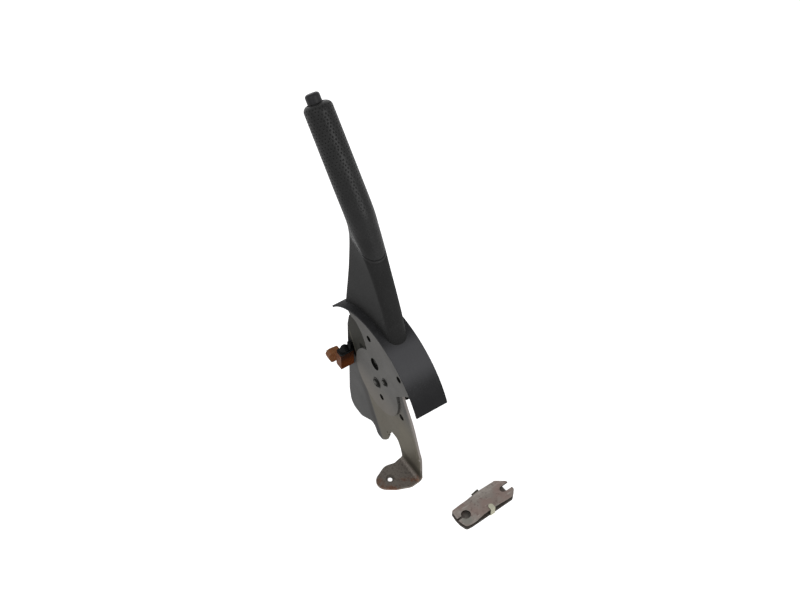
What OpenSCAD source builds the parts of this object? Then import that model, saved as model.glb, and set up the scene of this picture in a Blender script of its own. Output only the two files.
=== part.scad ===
// Parking brake lever: toothed base plate with a bolted foot, pressed-steel lever with
// grip, release button and pawl, slot cover, warning lamp switch and loose cable link.
// X points forward along the car, Y to the left and Z up. The origin is the centre of
// the foot's bolt hole, on the underside of the foot. The lever is drawn pulled up.

/* [Base plate] */
// Thickness of the base plate's sheet steel
base_t = 3; // [2.5:0.1:3.2]
// Height of the lever's pivot above the underside of the foot
pivot_h = 104; // [98:1:116]
// Distance from the bolt hole forward to the pivot
hole_back = 68; // [64:1:72]
// Distance from the lever's centre plane out to the bolt hole
hole_side = 40; // [36:1:46]
// Diameter of the foot's bolt hole
foot_hole_d = 8.5; // [6.5:0.5:11]
// Width of the foot at its bend
foot_w = 42; // [38:1:46]
// Distance from the bolt hole to the foot's round end
foot_end = 17.5; // [14:0.5:20]
// Inside radius of the foot's bend
bend_r = 4.5; // [3:0.5:6]
// Depth of the front lobe below the pivot
lobe_drop = 121; // [112:1:126]
// Reach of the front lobe ahead of the pivot
lobe_reach = 70; // [66:1:76]
// Depth of the locating fin below the pivot
fin_drop = 117; // [110:1:121]

/* [Ratchet] */
// Radius of the toothed rim
rim_r = 88; // [85:0.5:89]
// Depth of the teeth
tooth_h = 3.4; // [2.5:0.1:3.8]
// Angle from one tooth to the next
tooth_pitch = 4; // [4:0.5:5]
// Notches from released to fully pulled
notches = 13; // [9:1:14]

/* [Lever] */
// Clear width between the two side cheeks
cheek_gap = 21.6; // [21.2:0.1:23]
// Thickness of each cheek
cheek_t = 2.6; // [2:0.1:3.2]
// Radius of the cheeks' round hub
hub_r = 45.5; // [43:0.5:47]
// Diameter of the pivot rivet's shank
pivot_d = 9; // [7:0.5:10]
// Diameter of the stop rivet's shank
stop_d = 6; // [5:0.5:7]
// Distance of the stop rivet from the pivot
stop_r = 26; // [24:0.5:28]
// Width of the pressed lever arm
arm_w = 12; // [11:0.2:12.2]
// Wall of the lever arm
arm_t = 2; // [1.5:0.1:2.4]
// Side play between neighbouring steel plates
side_play = 0.3; // [0.2:0.05:0.5]
// Angle of the grip above the foot's plane, pulled up
grip_angle = 50.5; // [49.5:0.5:52]

/* [Handle] */
// Length of the grip from the bend to its end
grip_len = 135.5; // [128:0.5:150]
// Diameter of the grip at the bend
grip_d = 33.6; // [32:0.2:36]
// Diameter of the grip near its end
grip_end_d = 33.4; // [32:0.2:36]
// Wall of the moulded shroud
shroud_wall = 1.4; // [1:0.1:1.5]
// Diameter of the release button
button_d = 17; // [14:0.5:17.5]
// Length of button that stands out of the grip
button_out = 11.5; // [9:0.5:16]
// Diameter of the release rod
rod_d = 4.5; // [4:0.25:4.75]
// Width of the slot cover
cover_w = 42.6; // [36:0.2:50]
// Room between the toothed rim and the slot cover
cover_gap = 16; // [15.5:0.1:18]
// Thickness of the slot cover
cover_t = 2.5; // [1.5:0.1:2.7]

/* [Switch] */
// Depth of the switch body along the lever
switch_x = 11.5; // [10:0.5:14]
// Width of the switch body out from the base plate
switch_y = 18.3; // [16:0.1:22]
// Height of the switch body
switch_z = 24; // [22:1:28]
// Diameter of the switch plunger
plunger_d = 5; // [4:0.5:6]

/* [Cable link] */
// Length of the link's plates
link_len = 81; // [76:1:96]
// Width of the link's plates
link_w = 30.5; // [27:0.5:34]
// Thickness of the link's plates
link_t = 2.2; // [1.8:0.1:2.6]
// Clear height between the link's plates at the keyhole
link_gap = 3.6; // [2.4:0.2:5]

/* [Hidden] */
$fn = 64;

steel = [0.44, 0.43, 0.41];
dull_steel = [0.38, 0.37, 0.34];
zinc = [0.72, 0.72, 0.68];
black_plastic = [0.17, 0.17, 0.18];
cover_plastic = [0.24, 0.24, 0.25];
brown_plastic = [0.43, 0.22, 0.12];

// Places across the lever, measured from its centre plane
cheek_in = cheek_gap / 2;
cheek_out = cheek_in + cheek_t;
base_out = cheek_in - side_play;
base_in = base_out - base_t;
arm_out = arm_w / 2;
arm_in = arm_out - arm_t;

// Pivot in the foot's frame
pivot = [hole_back, -hole_side, pivot_h];
run_fit = 0.05;
pin_fit = 0.3;
seat_fit = 0.1;
travel = notches * tooth_pitch;

// Circle of the pins and rivets above the teeth, and the cover's outside
pin_r = rim_r + 8.5;
cover_r = rim_r + cover_gap + cover_t;

// Rear lower corner of the switch body, and the height of its top
switch_at = [lobe_reach - 13.5, -26];
switch_top = switch_at.y + switch_z;

function polar(r, a) = [r * cos(a), r * sin(a)];
function unit(v) = v / norm(v);
function arc(r, a0, a1, n) = [for (i = [0:n]) polar(r, a0 + (a1 - a0) * i / n)];
function sharp(pts) = [for (p = pts) [p.x, p.y, 0]];

// One corner of an outline, rounded to radius r, or less where its sides are short
function corner(a, b, c, r, n) =
    let (u = unit(a - b), v = unit(c - b), half = acos(u * v) / 2)
    let (reach = min(r / tan(half), 0.49 * min(norm(a - b), norm(c - b))))
    let (rr = reach * tan(half), m = b + unit(u + v) * rr / sin(half))
    let (p = b + u * reach - m, q = b + v * reach - m)
    let (a0 = atan2(p.y, p.x), turn = (atan2(q.y, q.x) - a0 + 900) % 360 - 180)
    [for (i = [0:n]) m + polar(rr, a0 + turn * i / n)];

// An outline whose points are [x, y, corner radius]
function rounded(pts, n = 6) = let (k = len(pts)) [for (i = [0:k - 1])
    let (a = pts[(i + k - 1) % k], b = pts[i], c = pts[(i + 1) % k])
    each b[2] > 0 ? corner([a.x, a.y], [b.x, b.y], [c.x, c.y], b[2], n) : [[b.x, b.y]]];

module at_pivot() { translate(pivot) children(); }

// A plate from y0 to y1 whose outline is drawn with x across and z up
module plate(y0, y1) {
    translate([0, y1, 0]) rotate([90, 0, 0]) linear_extrude(y1 - y0) children();
}

// A round pin across the lever
module cross_pin(p, d, y0, y1) {
    translate([p.x, y0, p.y]) rotate([-90, 0, 0]) cylinder(h = y1 - y0, d = d);
}

// A rivet head with a punched dimple, standing on the face y, towards side s
module rivet_head(p, d, y, s, h) {
    translate([p.x, y, p.y]) rotate([-90 * s, 0, 0]) difference() {
        cylinder(h = h, d1 = d, d2 = d * 0.86);
        translate([0, 0, h * 0.45]) cylinder(h = h, d = d * 0.36);
    }
}

// Base plate

leg_front = -hole_back + foot_w / 2 - 3;
leg_rear = -hole_back - foot_w / 2 - 3;
foot_top = -pivot_h + base_t;
leg_foot = foot_top + bend_r;
bend_cut = 2;
sector_front_a = 43;
sector_rear_a = 138;
teeth_from = 70;
teeth_to = 129;
arch_top = -74;

base_outline = rounded(concat(
    sharp(arc(rim_r, sector_front_a, sector_rear_a, 48)),
    [[-56, 31, 14], [leg_rear - 3, -58, 30], [leg_rear - 2, leg_foot + bend_cut, 9],
        [leg_rear + bend_cut / 2, leg_foot, 0], [leg_front, leg_foot, 0],
        [leg_front + 3, arch_top - 12, 14], [-40, arch_top, 8], [-25, arch_top, 5], [-21, -90, 3],
        [-16, -fin_drop + 12, 6], [-6, -fin_drop, 7], [5, -fin_drop, 7],
        [14, -102, 10], [lobe_reach - 28, -lobe_drop, 14], [lobe_reach - 4, -lobe_drop, 22],
        [lobe_reach, -92, 30], [lobe_reach - 2, switch_at.y - 3, 30], [lobe_reach - 0.5, 0, 20],
        [lobe_reach - 1.5, 40, 12]]));

// A tooth gap has a steep wall and a long slope, which gap_r follows da degrees on from the wall
gap_wall = 0.3;
gap_slope = tooth_pitch * 0.9;
gap_over = 1;
function gap_r(da) = rim_r - tooth_h + (tooth_h + gap_over) * (da - gap_wall) / (gap_slope - gap_wall);

module tooth_gaps() {
    for (a = [teeth_from:tooth_pitch:teeth_to])
        polygon([polar(rim_r + gap_over, a), polar(rim_r - tooth_h, a + gap_wall),
            polar(rim_r + gap_over, a + gap_slope)]);
}

// Curved slot that the stop rivet runs in
module stop_slot() {
    half = stop_d / 2 + pin_fit;
    a0 = stop_a - travel;
    polygon(concat(arc(stop_r + half, a0, stop_a, 24), arc(stop_r - half, stop_a, a0, 24)));
    for (a = [a0, stop_a]) translate(polar(stop_r, a)) circle(r = half + 0.2);
}

module base_plate() color(dull_steel) at_pivot() {
    plate(base_in, base_out) difference() {
        polygon(base_outline);
        tooth_gaps();
        circle(d = bush_d);
        stop_slot();
        translate(leg_hole) circle(d = leg_hole_d);
        for (h = sight_holes) translate([h.x, h.y]) circle(d = h[2] + sight_play);
        translate(fin_notch) circle(d = fin_notch_d);
        translate(switch_screw_at) circle(d = screw_d);
    }
    bend_rear = leg_rear + bend_cut / 2;
    bend_run = leg_front - bend_rear;
    translate([bend_rear, base_out + bend_r, leg_foot]) rotate([0, 90, 0]) intersection() {
        difference() {
            cylinder(h = bend_run, r = bend_r + base_t);
            translate([0, 0, -1]) cylinder(h = bend_run + 2, r = bend_r);
        }
        translate([0, -bend_r - base_t, 0]) cube([bend_r + base_t, bend_r + base_t, bend_run]);
    }
    translate([0, 0, -pivot_h]) linear_extrude(base_t) difference() {
        polygon(foot_outline);
        translate([-hole_back, hole_side]) circle(d = foot_hole_d);
    }
}

foot_near = base_out + bend_r;
foot_outline = rounded([[leg_front, foot_near, 0], [leg_rear + bend_cut / 2, foot_near, 0],
    [leg_rear, foot_near + 9, 14], [leg_rear + 7, hole_side + 1.5, 18],
    [-hole_back - 6, hole_side + foot_end, 14], [-hole_back + 8, hole_side + foot_end, 12],
    [leg_front + 1, hole_side - 4, 14], [leg_front - 2, foot_near + 8, 8]]);
leg_hole = [-49, -17.4];
leg_hole_d = 8.4;
fin_notch = [-19.5, -87];
fin_notch_d = 6;
sight_play = 1;

// Pivot and stop

bush_d = pivot_d + 4;
stop_a = 131.8;
stop_at = polar(stop_r, stop_a);
pivot_head_d = pivot_d + 4;
stop_head_d = stop_d + 3.6;
head_h = 1.8;

// Flanged bush in the base plate; its flange takes up the room beside the lever arm
module pivot_bush() color(zinc) at_pivot() difference() {
    union() {
        cross_pin([0, 0], bush_d, base_in, base_out);
        cross_pin([0, 0], bush_d + 4, arm_out + side_play, base_in);
    }
    cross_pin([0, 0], pivot_d + 2 * run_fit, arm_out, base_out + 1);
}

module through_rivet(p, d, head_d) {
    cross_pin(p, d, -cheek_out, cheek_out);
    rivet_head(p, head_d, cheek_out, 1, head_h);
    rivet_head(p, head_d, -cheek_out, -1, head_h);
}

module pivot_rivet() color(steel) at_pivot() through_rivet([0, 0], pivot_d, pivot_head_d);

// Distance washers between the lever arm and the far cheek
module far_washer(p, d, od) {
    difference() {
        cross_pin(p, od, -cheek_in, -arm_out);
        cross_pin(p, d, -cheek_in - 1, -arm_out + 1);
    }
}

module pivot_washer() color(dull_steel) at_pivot() far_washer([0, 0], pivot_d, pivot_d + 8);
module stop_rivet() color(steel) at_pivot() through_rivet(stop_at, stop_d, stop_head_d);
module stop_washer() color(dull_steel) at_pivot() far_washer(stop_at, stop_d, stop_d + 6);

// Cheeks

cheek_rim_r = cover_r - cover_t - side_play;
fan_outline = rounded(concat(
    sharp(arc(cheek_rim_r, 50, 143, 40)),
    [[-60.6, 39.8, 3], [-41.7, 18, 2], [-20, 0, 0], [20, 30, 0], [22.4, 45.1, 1.5], [26.5, 54.2, 8],
        [33, 63, 10], [44, 70.5, 8], [56.5, 70.3, 4]]));
// Plain holes through cheek and base plate, and one through the cheek alone, each [x, z, diameter]
function hole(p, d) = [p.x, p.y, d];
sight_holes = [hole(polar(rim_r - 18.9, 76.5), 8), hole(polar(rim_r - 13.6, 129.3), 8.4), [-10.4, -18.3, 8]];
cheek_holes = concat(sight_holes, [[4.1, 31.3, 16]]);

module cheek(y0, y1) plate(y0, y1) difference() {
    union() {
        circle(r = hub_r);
        polygon(fan_outline);
    }
    for (h = cheek_holes) translate([h.x, h.y]) circle(d = h[2]);
    circle(d = pivot_d);
    translate(stop_at) circle(d = stop_d);
    translate(pawl_at) circle(d = pawl_pin_d);
    for (p = arm_rivet_at) translate(p) circle(d = arm_rivet_d);
}

module near_cheek() color(steel) at_pivot() cheek(cheek_in, cheek_out);
module far_cheek() color(steel) at_pivot() cheek(-cheek_out, -cheek_in);

// Lever arm, a pressed channel from the pivot up into the grip

bend_at = [46, 240];
up = [cos(grip_angle), sin(grip_angle)];
side = [-up.y, up.x];
arm_half = 9;
arm_end = 98;
arm_hub_r = 33;
arm_front = 44;
arm_rivet_at = [polar(pin_r, 85.2), polar(pin_r, 69.3)];
arm_rivet_d = 6;
rod_foot = polar(pin_r, 98.3);
window_d = 17;
pawl_at = polar(pin_r, 108.7);
shoulder = pawl_at + [4.9, 5.6];

function on_grip(s, n = 0) = bend_at + up * s + side * n;

// Outline of the arm, pushed out by g all round
function arm_outline(g = 0) = concat([[-arm_hub_r - g, 20], shoulder - [g, 0], [20 - g, 214],
    on_grip(-2, arm_half + g), on_grip(arm_end + g, arm_half + g),
    on_grip(arm_end + g, -arm_half - g), on_grip(-6, -arm_half - g),
    [arm_front + g, 205], [arm_front + g, 97], [30 + g, 20]], arc(arm_hub_r + g, 25, -180, 32));

// Room inside the arm: open at the front and the foot, with a web along its back
arm_room = [[-arm_hub_r + arm_t, -arm_hub_r - 1], [-arm_hub_r + arm_t, 20], shoulder + [arm_t, 0],
    [20 + arm_t, 213], on_grip(-2, arm_half - arm_t), on_grip(arm_end + 1, arm_half - arm_t),
    on_grip(arm_end + 1, -arm_half - 1), on_grip(-6, -arm_half - 1),
    [arm_front + 2, 204], [arm_front + 2, -arm_hub_r - 1]];

module lever_arm() color(dull_steel) at_pivot() difference() {
    plate(-arm_out, arm_out) difference() {
        polygon(arm_outline());
        circle(d = pivot_d);
        translate(stop_at) circle(d = stop_d);
        for (p = arm_rivet_at) translate(p) circle(d = arm_rivet_d);
    }
    plate(-arm_in, arm_in) polygon(arm_room);
    cross_pin(rod_foot, window_d, 0, arm_out + 1);
}

module arm_rivets() color(steel) at_pivot()
    for (p = arm_rivet_at) through_rivet(p, arm_rivet_d, arm_rivet_d + 3);

module arm_spacers() color(dull_steel) at_pivot() for (p = arm_rivet_at, s = [0, 1]) mirror([0, s, 0])
    difference() {
        cross_pin(p, arm_rivet_d + 4, arm_out, cheek_in);
        cross_pin(p, arm_rivet_d, arm_out - 1, cheek_in + 1);
    }

// Pawl

pawl_pin_d = 6;
pawl_t = base_t - 0.4;
pawl_mid = (base_in + base_out) / 2;
pawl_clear_a = 8;
tip_a = teeth_from + tooth_pitch * floor((123 - teeth_from) / tooth_pitch);
tail_pin_d = 3;

module pawl_pin() color(steel) at_pivot() {
    cross_pin(pawl_at, pawl_pin_d - 2 * run_fit, -cheek_out, cheek_out);
    for (s = [-1, 1]) translate([pawl_at.x, s * cheek_out, pawl_at.y]) rotate([-90 * s, 0, 0])
        cylinder(h = 1.2, d1 = pawl_pin_d + 2, d2 = pawl_pin_d + 1);
}

// Pawl seated in its notch: the tip's steep side bears against the tooth behind it
tip_gap = 0.5;
function on_slope(da) = polar(gap_r(da) + tip_gap, tip_a + da);
function pawl_tip() = [polar(rim_r + 3, tip_a + 0.45), on_slope(0.8), on_slope(1.4),
    on_slope(tooth_pitch * 0.86), polar(rim_r + 6, tip_a + tooth_pitch)];

module pawl() color(steel) at_pivot() {
    plate(pawl_mid - pawl_t / 2, pawl_mid + pawl_t / 2) difference() {
        union() {
            translate(pawl_at) rotate(-pawl_clear_a) translate(-pawl_at) {
                polygon(concat(pawl_tip(), [pawl_at + [-5, -2], pawl_at + [4, -5]]));
                translate(pawl_at) circle(d = pawl_pin_d + 6);
            }
            polygon([pawl_at + [0, 6], pawl_at + [0, -3], rod_foot + [0, -3.5], rod_foot + [0, 3.5]]);
            translate(rod_foot) circle(r = 3.5);
        }
        translate(pawl_at) circle(d = pawl_pin_d);
    }
    cross_pin(rod_foot, tail_pin_d, -2.5, pawl_mid);
}

// Handle skin, cut along a slanted joint into grip and shroud

// Each station is [rear x, rear z, front x, front z, rear half width, front half width, rear depth,
// front depth]: two half ellipses, joined by straight sides
function round_station(s, r) = let (a = on_grip(s, r), b = on_grip(s, -r)) [a.x, a.y, b.x, b.y, r, r, r, r];
grip_r = grip_d / 2;
grip_end_r = grip_end_d / 2;
end_round = 4;
stations = concat(
    [[-37.5, 88, 75, 66, 11.5, 10.5, 9, 3.5], [-34, 99, 72.5, 84, 11.5, 10.5, 9, 3.5],
        [-29.5, 114, 69.5, 101, 11.8, 11, 9, 3.5], [-23, 133, 66, 126, 12, 11, 9, 3.5],
        [-12, 160, 62, 156, 12.2, 11.2, 9.5, 3.6], [1, 188, 59.5, 188, 13, 11.8, 11, 5],
        [13.2, 212, 58.5, 209, 14.6, 13.6, 13, 9], [25, 234, 59, 222, 16.2, 16, 15.5, 15]],
    [round_station(6, grip_r), round_station(45, grip_r + 0.1),
        round_station(grip_len - end_round, grip_end_r)]);

function blend(a, b, c, d, t) =
    0.5 * (2 * b + (c - a) * t + (2 * a - 5 * b + 4 * c - d) * t * t + (3 * b - a - 3 * c + d) * t * t * t);
function pick(i) = stations[max(0, min(len(stations) - 1, i))];
steps = 4;
smooth_stations = concat([for (i = [0:len(stations) - 2], k = [0:steps - 1])
    blend(pick(i - 1), pick(i), pick(i + 1), pick(i + 2), k / steps)],
    [for (a = [0:15:75]) round_station(grip_len - end_round + end_round * sin(a),
        grip_end_r - end_round * (1 - cos(a)))],
    [round_station(grip_len, grip_end_r - end_round)]);

half_ring = 16;
function ring(st, inset) =
    let (e = unit([st[2] - st[0], st[3] - st[1]]))
    let (middle = [[st[0], st[1]] + e * st[6], [st[2], st[3]] - e * st[7]])
    [for (end = [0, 1], k = [0:half_ring - 1])
        let (a = 90 + 180 * end + 180 * (k + 0.5) / half_ring)
        let (p = middle[end] + e * (st[6 + end] - inset) * cos(a))
        [p.x, (st[4 + end] - inset) * sin(a), p.y]];

module skin(inset, rows) {
    n = 2 * half_ring;
    m = len(rows);
    sides = [for (i = [0:m - 2], j = [0:n - 1]) let (k = (j + 1) % n) each
        [[i * n + j, (i + 1) * n + j, (i + 1) * n + k], [i * n + j, (i + 1) * n + k, i * n + k]]];
    caps = [[for (j = [0:n - 1]) j], [for (j = [n - 1:-1:0]) (m - 1) * n + j]];
    polyhedron([for (st = rows) each ring(st, inset)], concat(sides, caps), convexity = 8);
}

// Slanted joint between shroud and grip, with half of the gap on each side
joint_at = [12.5, 206];
joint_tilt = 16.5;
joint_gap = 0.2;

module above_joint(lift) {
    reach = 2 * grip_len;
    translate([joint_at.x, 0, joint_at.y]) rotate([0, -joint_tilt, 0])
        translate([-reach, -grip_d, lift]) cube([2 * reach, 2 * grip_d, reach]);
}

module shroud() color(black_plastic) at_pivot() difference() {
    skin(0, smooth_stations);
    skin(shroud_wall, [for (i = [0:(len(stations) - 2) * steps]) smooth_stations[i]]);
    above_joint(-joint_gap / 2);
    rotate([90, 0, 0]) cylinder(h = 2 * grip_d, r = cover_r, center = true, $fn = 128);
}

bush_len = 22;
bush_od = button_d + 2.2;
bush_sunk = 1.2;
rod_drop = 3;

module grip() color(black_plastic) at_pivot() difference() {
    intersection() {
        skin(0, smooth_stations);
        above_joint(joint_gap / 2);
    }
    plate(-arm_out - seat_fit, arm_out + seat_fit) polygon(arm_outline(seat_fit));
    along_grip(arm_end - 1) cylinder(h = grip_len, d = bush_od);
}

// A frame on the button's axis, which runs below the grip's, its z along the axis, s beyond the bend
module along_grip(s) {
    p = on_grip(s, -rod_drop);
    translate([p.x, 0, p.y]) rotate([0, 90 - grip_angle, 0]) children();
}

module end_bush() color(black_plastic) at_pivot() along_grip(grip_len - bush_sunk - bush_len) difference() {
    cylinder(h = bush_len, d = bush_od);
    translate([0, 0, -1]) cylinder(h = bush_len + 2, d = button_d + 2 * seat_fit);
}

// Release button, rod and spring

button_tail = 104;
seat_s = 62;
seat_len = 6;
rod_play = 0.3;
button_round = 3.4;
button_len = grip_len + button_out - button_tail;
rod_seat = 20;

module button() color(black_plastic) at_pivot() along_grip(button_tail) rotate_extrude()
    polygon(concat([[rod_d / 2, 0], [button_d / 2 - 1, 0], [button_d / 2, 1]],
        [for (a = [0:15:75]) [button_d / 2 - button_round * (1 - cos(a)),
            button_len - button_round * (1 - sin(a))]],
        [[0, button_len], [0, rod_seat], [rod_d / 2, rod_seat]]));

module spring_seat() color(dull_steel) at_pivot() along_grip(seat_s) difference() {
    translate([-arm_half + arm_t - rod_drop, -arm_in, 0])
        cube([2 * arm_half - arm_t, 2 * arm_in, seat_len]);
    translate([0, 0, -1]) cylinder(h = seat_len + 2, d = rod_d + 2 * rod_play);
}

spring_wire = 0.9;
spring_d = 6.3;
spring_turns = 8;

module rod_spring() color(zinc) at_pivot() along_grip(seat_s + seat_len + spring_wire / 2) {
    rise = button_tail - seat_s - seat_len - spring_wire - 0.2;
    n = 12 * spring_turns;
    m = 6;
    rings = [for (i = [0:n]) let (a = 360 * spring_turns * i / n) each [for (j = [0:m - 1])
        let (b = 360 * j / m, r = spring_d / 2 + spring_wire / 2 * cos(b))
        [r * cos(a), r * sin(a), rise * i / n + spring_wire / 2 * sin(b)]]];
    sides = [for (i = [0:n - 1], j = [0:m - 1]) let (k = (j + 1) % m) each
        [[i * m + j, (i + 1) * m + j, (i + 1) * m + k], [i * m + j, (i + 1) * m + k, i * m + k]]];
    polyhedron(rings, concat(sides, [[for (j = [0:m - 1]) j], [for (j = [m - 1:-1:0]) n * m + j]]));
}

rod_bend = on_grip(0, -rod_drop);
rod_lower = unit(rod_bend - rod_foot);
rod_lower_len = norm(rod_bend - rod_foot);
eye_w = 13;
eye_h = 8;
eye_t = 4;
eye_wall = 1.9;
eye_play = 0.8;

module release_rod() color(steel) at_pivot() {
    along_grip(0) cylinder(h = button_tail + rod_seat, d = rod_d);
    translate([rod_bend.x, 0, rod_bend.y]) sphere(d = rod_d + 0.6);
    translate([rod_foot.x, 0, rod_foot.y]) rotate([0, 90 - atan2(rod_lower.y, rod_lower.x), 0])
        translate([0, 0, eye_h / 2 - 1]) cylinder(h = rod_lower_len - eye_h / 2 + 1, d = rod_d);
    plate(-eye_t / 2, eye_t / 2) translate(rod_foot) difference() {
        square([eye_w, eye_h], center = true);
        square([eye_w - 2 * eye_wall - tail_pin_d, tail_pin_d + eye_play], center = true);
        for (s = [-1, 1]) translate([s * (eye_w / 2 - eye_wall - tail_pin_d / 2), 0])
            circle(d = tail_pin_d + eye_play);
    }
}

// Slot cover

cover_front_a = 37.5;
cover_rear_a = 155.5;
slot_front_a = 63;
slot_rear_a = 105;

module ring_sector(r0, r1, w, a0, a1) {
    rotate([90, 0, 0]) rotate([0, 0, a0]) rotate_extrude(angle = a1 - a0, $fn = 128)
        translate([r0, -w / 2]) square([r1 - r0, w]);
}

module slot_cover() color(cover_plastic) at_pivot() difference() {
    ring_sector(cover_r - cover_t, cover_r, cover_w, cover_front_a, cover_rear_a);
    ring_sector(cover_r - cover_t - 2, cover_r + 2, arm_w + 0.6, slot_front_a, slot_rear_a);
}

// Warning lamp switch

plunger_at = [switch_at.x + 4, base_out + plunger_d / 2 + pin_fit + 0.6];
plunger_top = 15;
plunger_round = 1.5;
plunger_tail = 9;
guide_h = 3.6;
guide_edge = 0.3;
screw_d = 4;
switch_screw_at = [switch_at.x + 5, switch_at.y + 7];
lobe_len = 11;

module switch_body() color(brown_plastic) at_pivot() difference() {
    union() {
        translate([switch_at.x, base_out, switch_at.y]) cube([switch_x, switch_y, switch_z]);
        translate([switch_at.x + switch_x, base_out + switch_y - 7, switch_at.y + 6])
            rotate([90, 0, 90]) linear_extrude(8) polygon(rounded([[0, 0, 2], [7 + lobe_len - 4, 0, 5],
                [7 + lobe_len, 13.5, 6], [6 + lobe_len - 4, 19, 5], [0, 17, 2]]));
    }
    cross_pin(switch_screw_at, screw_d, 0, base_out + 8);
    translate([plunger_at.x, plunger_at.y, switch_top - 14]) cylinder(h = 20, d = plunger_d + 2 * pin_fit);
}

module switch_guide() color(black_plastic) at_pivot()
    difference() {
        guide_x = switch_at.x + guide_edge;
        guide_x2 = switch_at.x + switch_x - guide_edge;
        guide_y = base_out + switch_y - guide_edge;
        translate([0, 0, switch_top]) linear_extrude(guide_h) polygon(rounded([[guide_x, base_out, 1],
            [guide_x2, base_out, 1], [guide_x2, guide_y, 2], [guide_x, guide_y, 2]]));
        translate([plunger_at.x, plunger_at.y, switch_top - 1])
            cylinder(h = guide_h + 2, d = plunger_d + 2 * pin_fit);
    }

module switch_plunger() color(black_plastic) at_pivot()
    translate([plunger_at.x, plunger_at.y, switch_top - plunger_tail]) rotate_extrude() {
        plunger_len = plunger_top - switch_top + plunger_tail;
        polygon(concat([[0, 0], [plunger_d / 2, 0]],
            [for (a = [0:15:90]) [plunger_d / 2, plunger_len] - plunger_round * [1 - cos(a), 1 - sin(a)]],
            [[0, plunger_len]]));
    }

module switch_terminal() color(zinc) at_pivot()
    translate([switch_at.x + switch_x + 8, base_out + switch_y - 1, switch_at.y + 13]) cube([7, 6.3, 0.8]);

module switch_screw() color(steel) at_pivot() {
    cross_pin(switch_screw_at, screw_d, base_in, base_out + 8);
    translate([switch_screw_at.x, base_in, switch_screw_at.y]) rotate([90, 0, 0])
        cylinder(h = 2, d1 = screw_d + 4, d2 = screw_d + 3);
}

// Loose cable link, lying on the surface that the front lobe reaches down to

link_at = [-156.1, -0.7, -lobe_drop];
link_turn = -86;
keyhole_d = 12;
keyhole_u = 11.5;
keyhole_slit = 2.6;
fork_w = 8.4;
fork_u = 70;
lower_fork_u = 79;
rise = 4.4;
fork_rise = 0.9;

module at_link() at_pivot() translate(link_at) rotate([0, 0, link_turn]) children();

// Outline of a link plate: u runs from the keyhole end to the fork end
link_half = link_w / 2;
link_outline = rounded([[-1, -4, 7], [1.5, -link_half + 1, 4], [10, -link_half, 5],
    [link_len - 8, -link_half, 4], [link_len, -link_half + 7, 4], [link_len, link_half - 9, 4],
    [link_len - 12, link_half + 0.5, 4], [26, link_half - 1.5, 8], [16, link_half, 6],
    [0.5, link_half - 1, 3], [-1, 4, 7]]);

module fork_slot(u) {
    translate([u, 0]) circle(d = fork_w);
    translate([u, -fork_w / 2]) square([link_len, fork_w]);
}

// Side view of the upper plate: its middle is joggled up between two flat ends
upper_line = [[-3, 0], [17, 0], [28, rise], [46, rise], [66, fork_rise], [link_len + 1, fork_rise]];
function lifted(z) = [for (p = upper_line) [p.x, link_t + link_gap + p.y + z]];
function turned(pts) = [for (i = [len(pts) - 1:-1:0]) pts[i]];

module link_upper_plate() color(steel) at_link() intersection() {
    linear_extrude(link_len) difference() {
        polygon(link_outline);
        translate([keyhole_u, 0]) circle(d = keyhole_d);
        translate([-3, -keyhole_slit / 2]) square([keyhole_u + 3, keyhole_slit]);
        fork_slot(fork_u);
    }
    plate(-link_w, link_w) polygon(concat(lifted(0), turned(lifted(link_t))));
}

module link_lower_plate() color(dull_steel) at_link() linear_extrude(link_t) difference() {
    polygon(link_outline);
    fork_slot(lower_fork_u);
}

// Strap clip: a round-ended flap on the upper plate, a wall down the near side and a tongue through
clip_u = 37.5;
clip_w = 6.8;
clip_t = 1.1;
clip_lap = 6.8;
clip_tail = 7;

module link_clip() color(zinc) at_link() {
    top = 2 * link_t + link_gap + rise;
    translate([clip_u, -link_half - clip_t, 0]) {
        cube([clip_w, clip_t, top + clip_t]);
        translate([0, 0, top - link_t - clip_t]) cube([clip_w, link_w + clip_t + clip_tail, clip_t]);
        translate([0, 0, top]) {
            cube([clip_w, clip_lap + clip_t - clip_w / 2, clip_t]);
            translate([clip_w / 2, clip_lap + clip_t - clip_w / 2, 0]) cylinder(h = clip_t, d = clip_w);
        }
    }
}

base_plate();
pivot_bush();
switch_body();
switch_guide();
switch_plunger();
switch_terminal();
switch_screw();
near_cheek();
far_cheek();
lever_arm();
pivot_rivet();
pivot_washer();
stop_rivet();
stop_washer();
arm_rivets();
arm_spacers();
pawl_pin();
pawl();
shroud();
slot_cover();
grip();
end_bush();
spring_seat();
rod_spring();
button();
release_rod();
link_upper_plate();
link_lower_plate();
link_clip();
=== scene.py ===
"""Dresses a parking brake lever: steel plates, moulded handle, lamp switch and loose cable link.

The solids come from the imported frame. Each sub-assembly is a class that eases the edges of its
plates, models what the solids leave plain and gives every piece its finish.
"""
from __future__ import annotations

import logging
import math
from dataclasses import dataclass, field
from enum import Enum
from typing import Callable, Sequence

import bmesh
import bpy
import numpy as np
from mathutils import Matrix, Vector, noise


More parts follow.
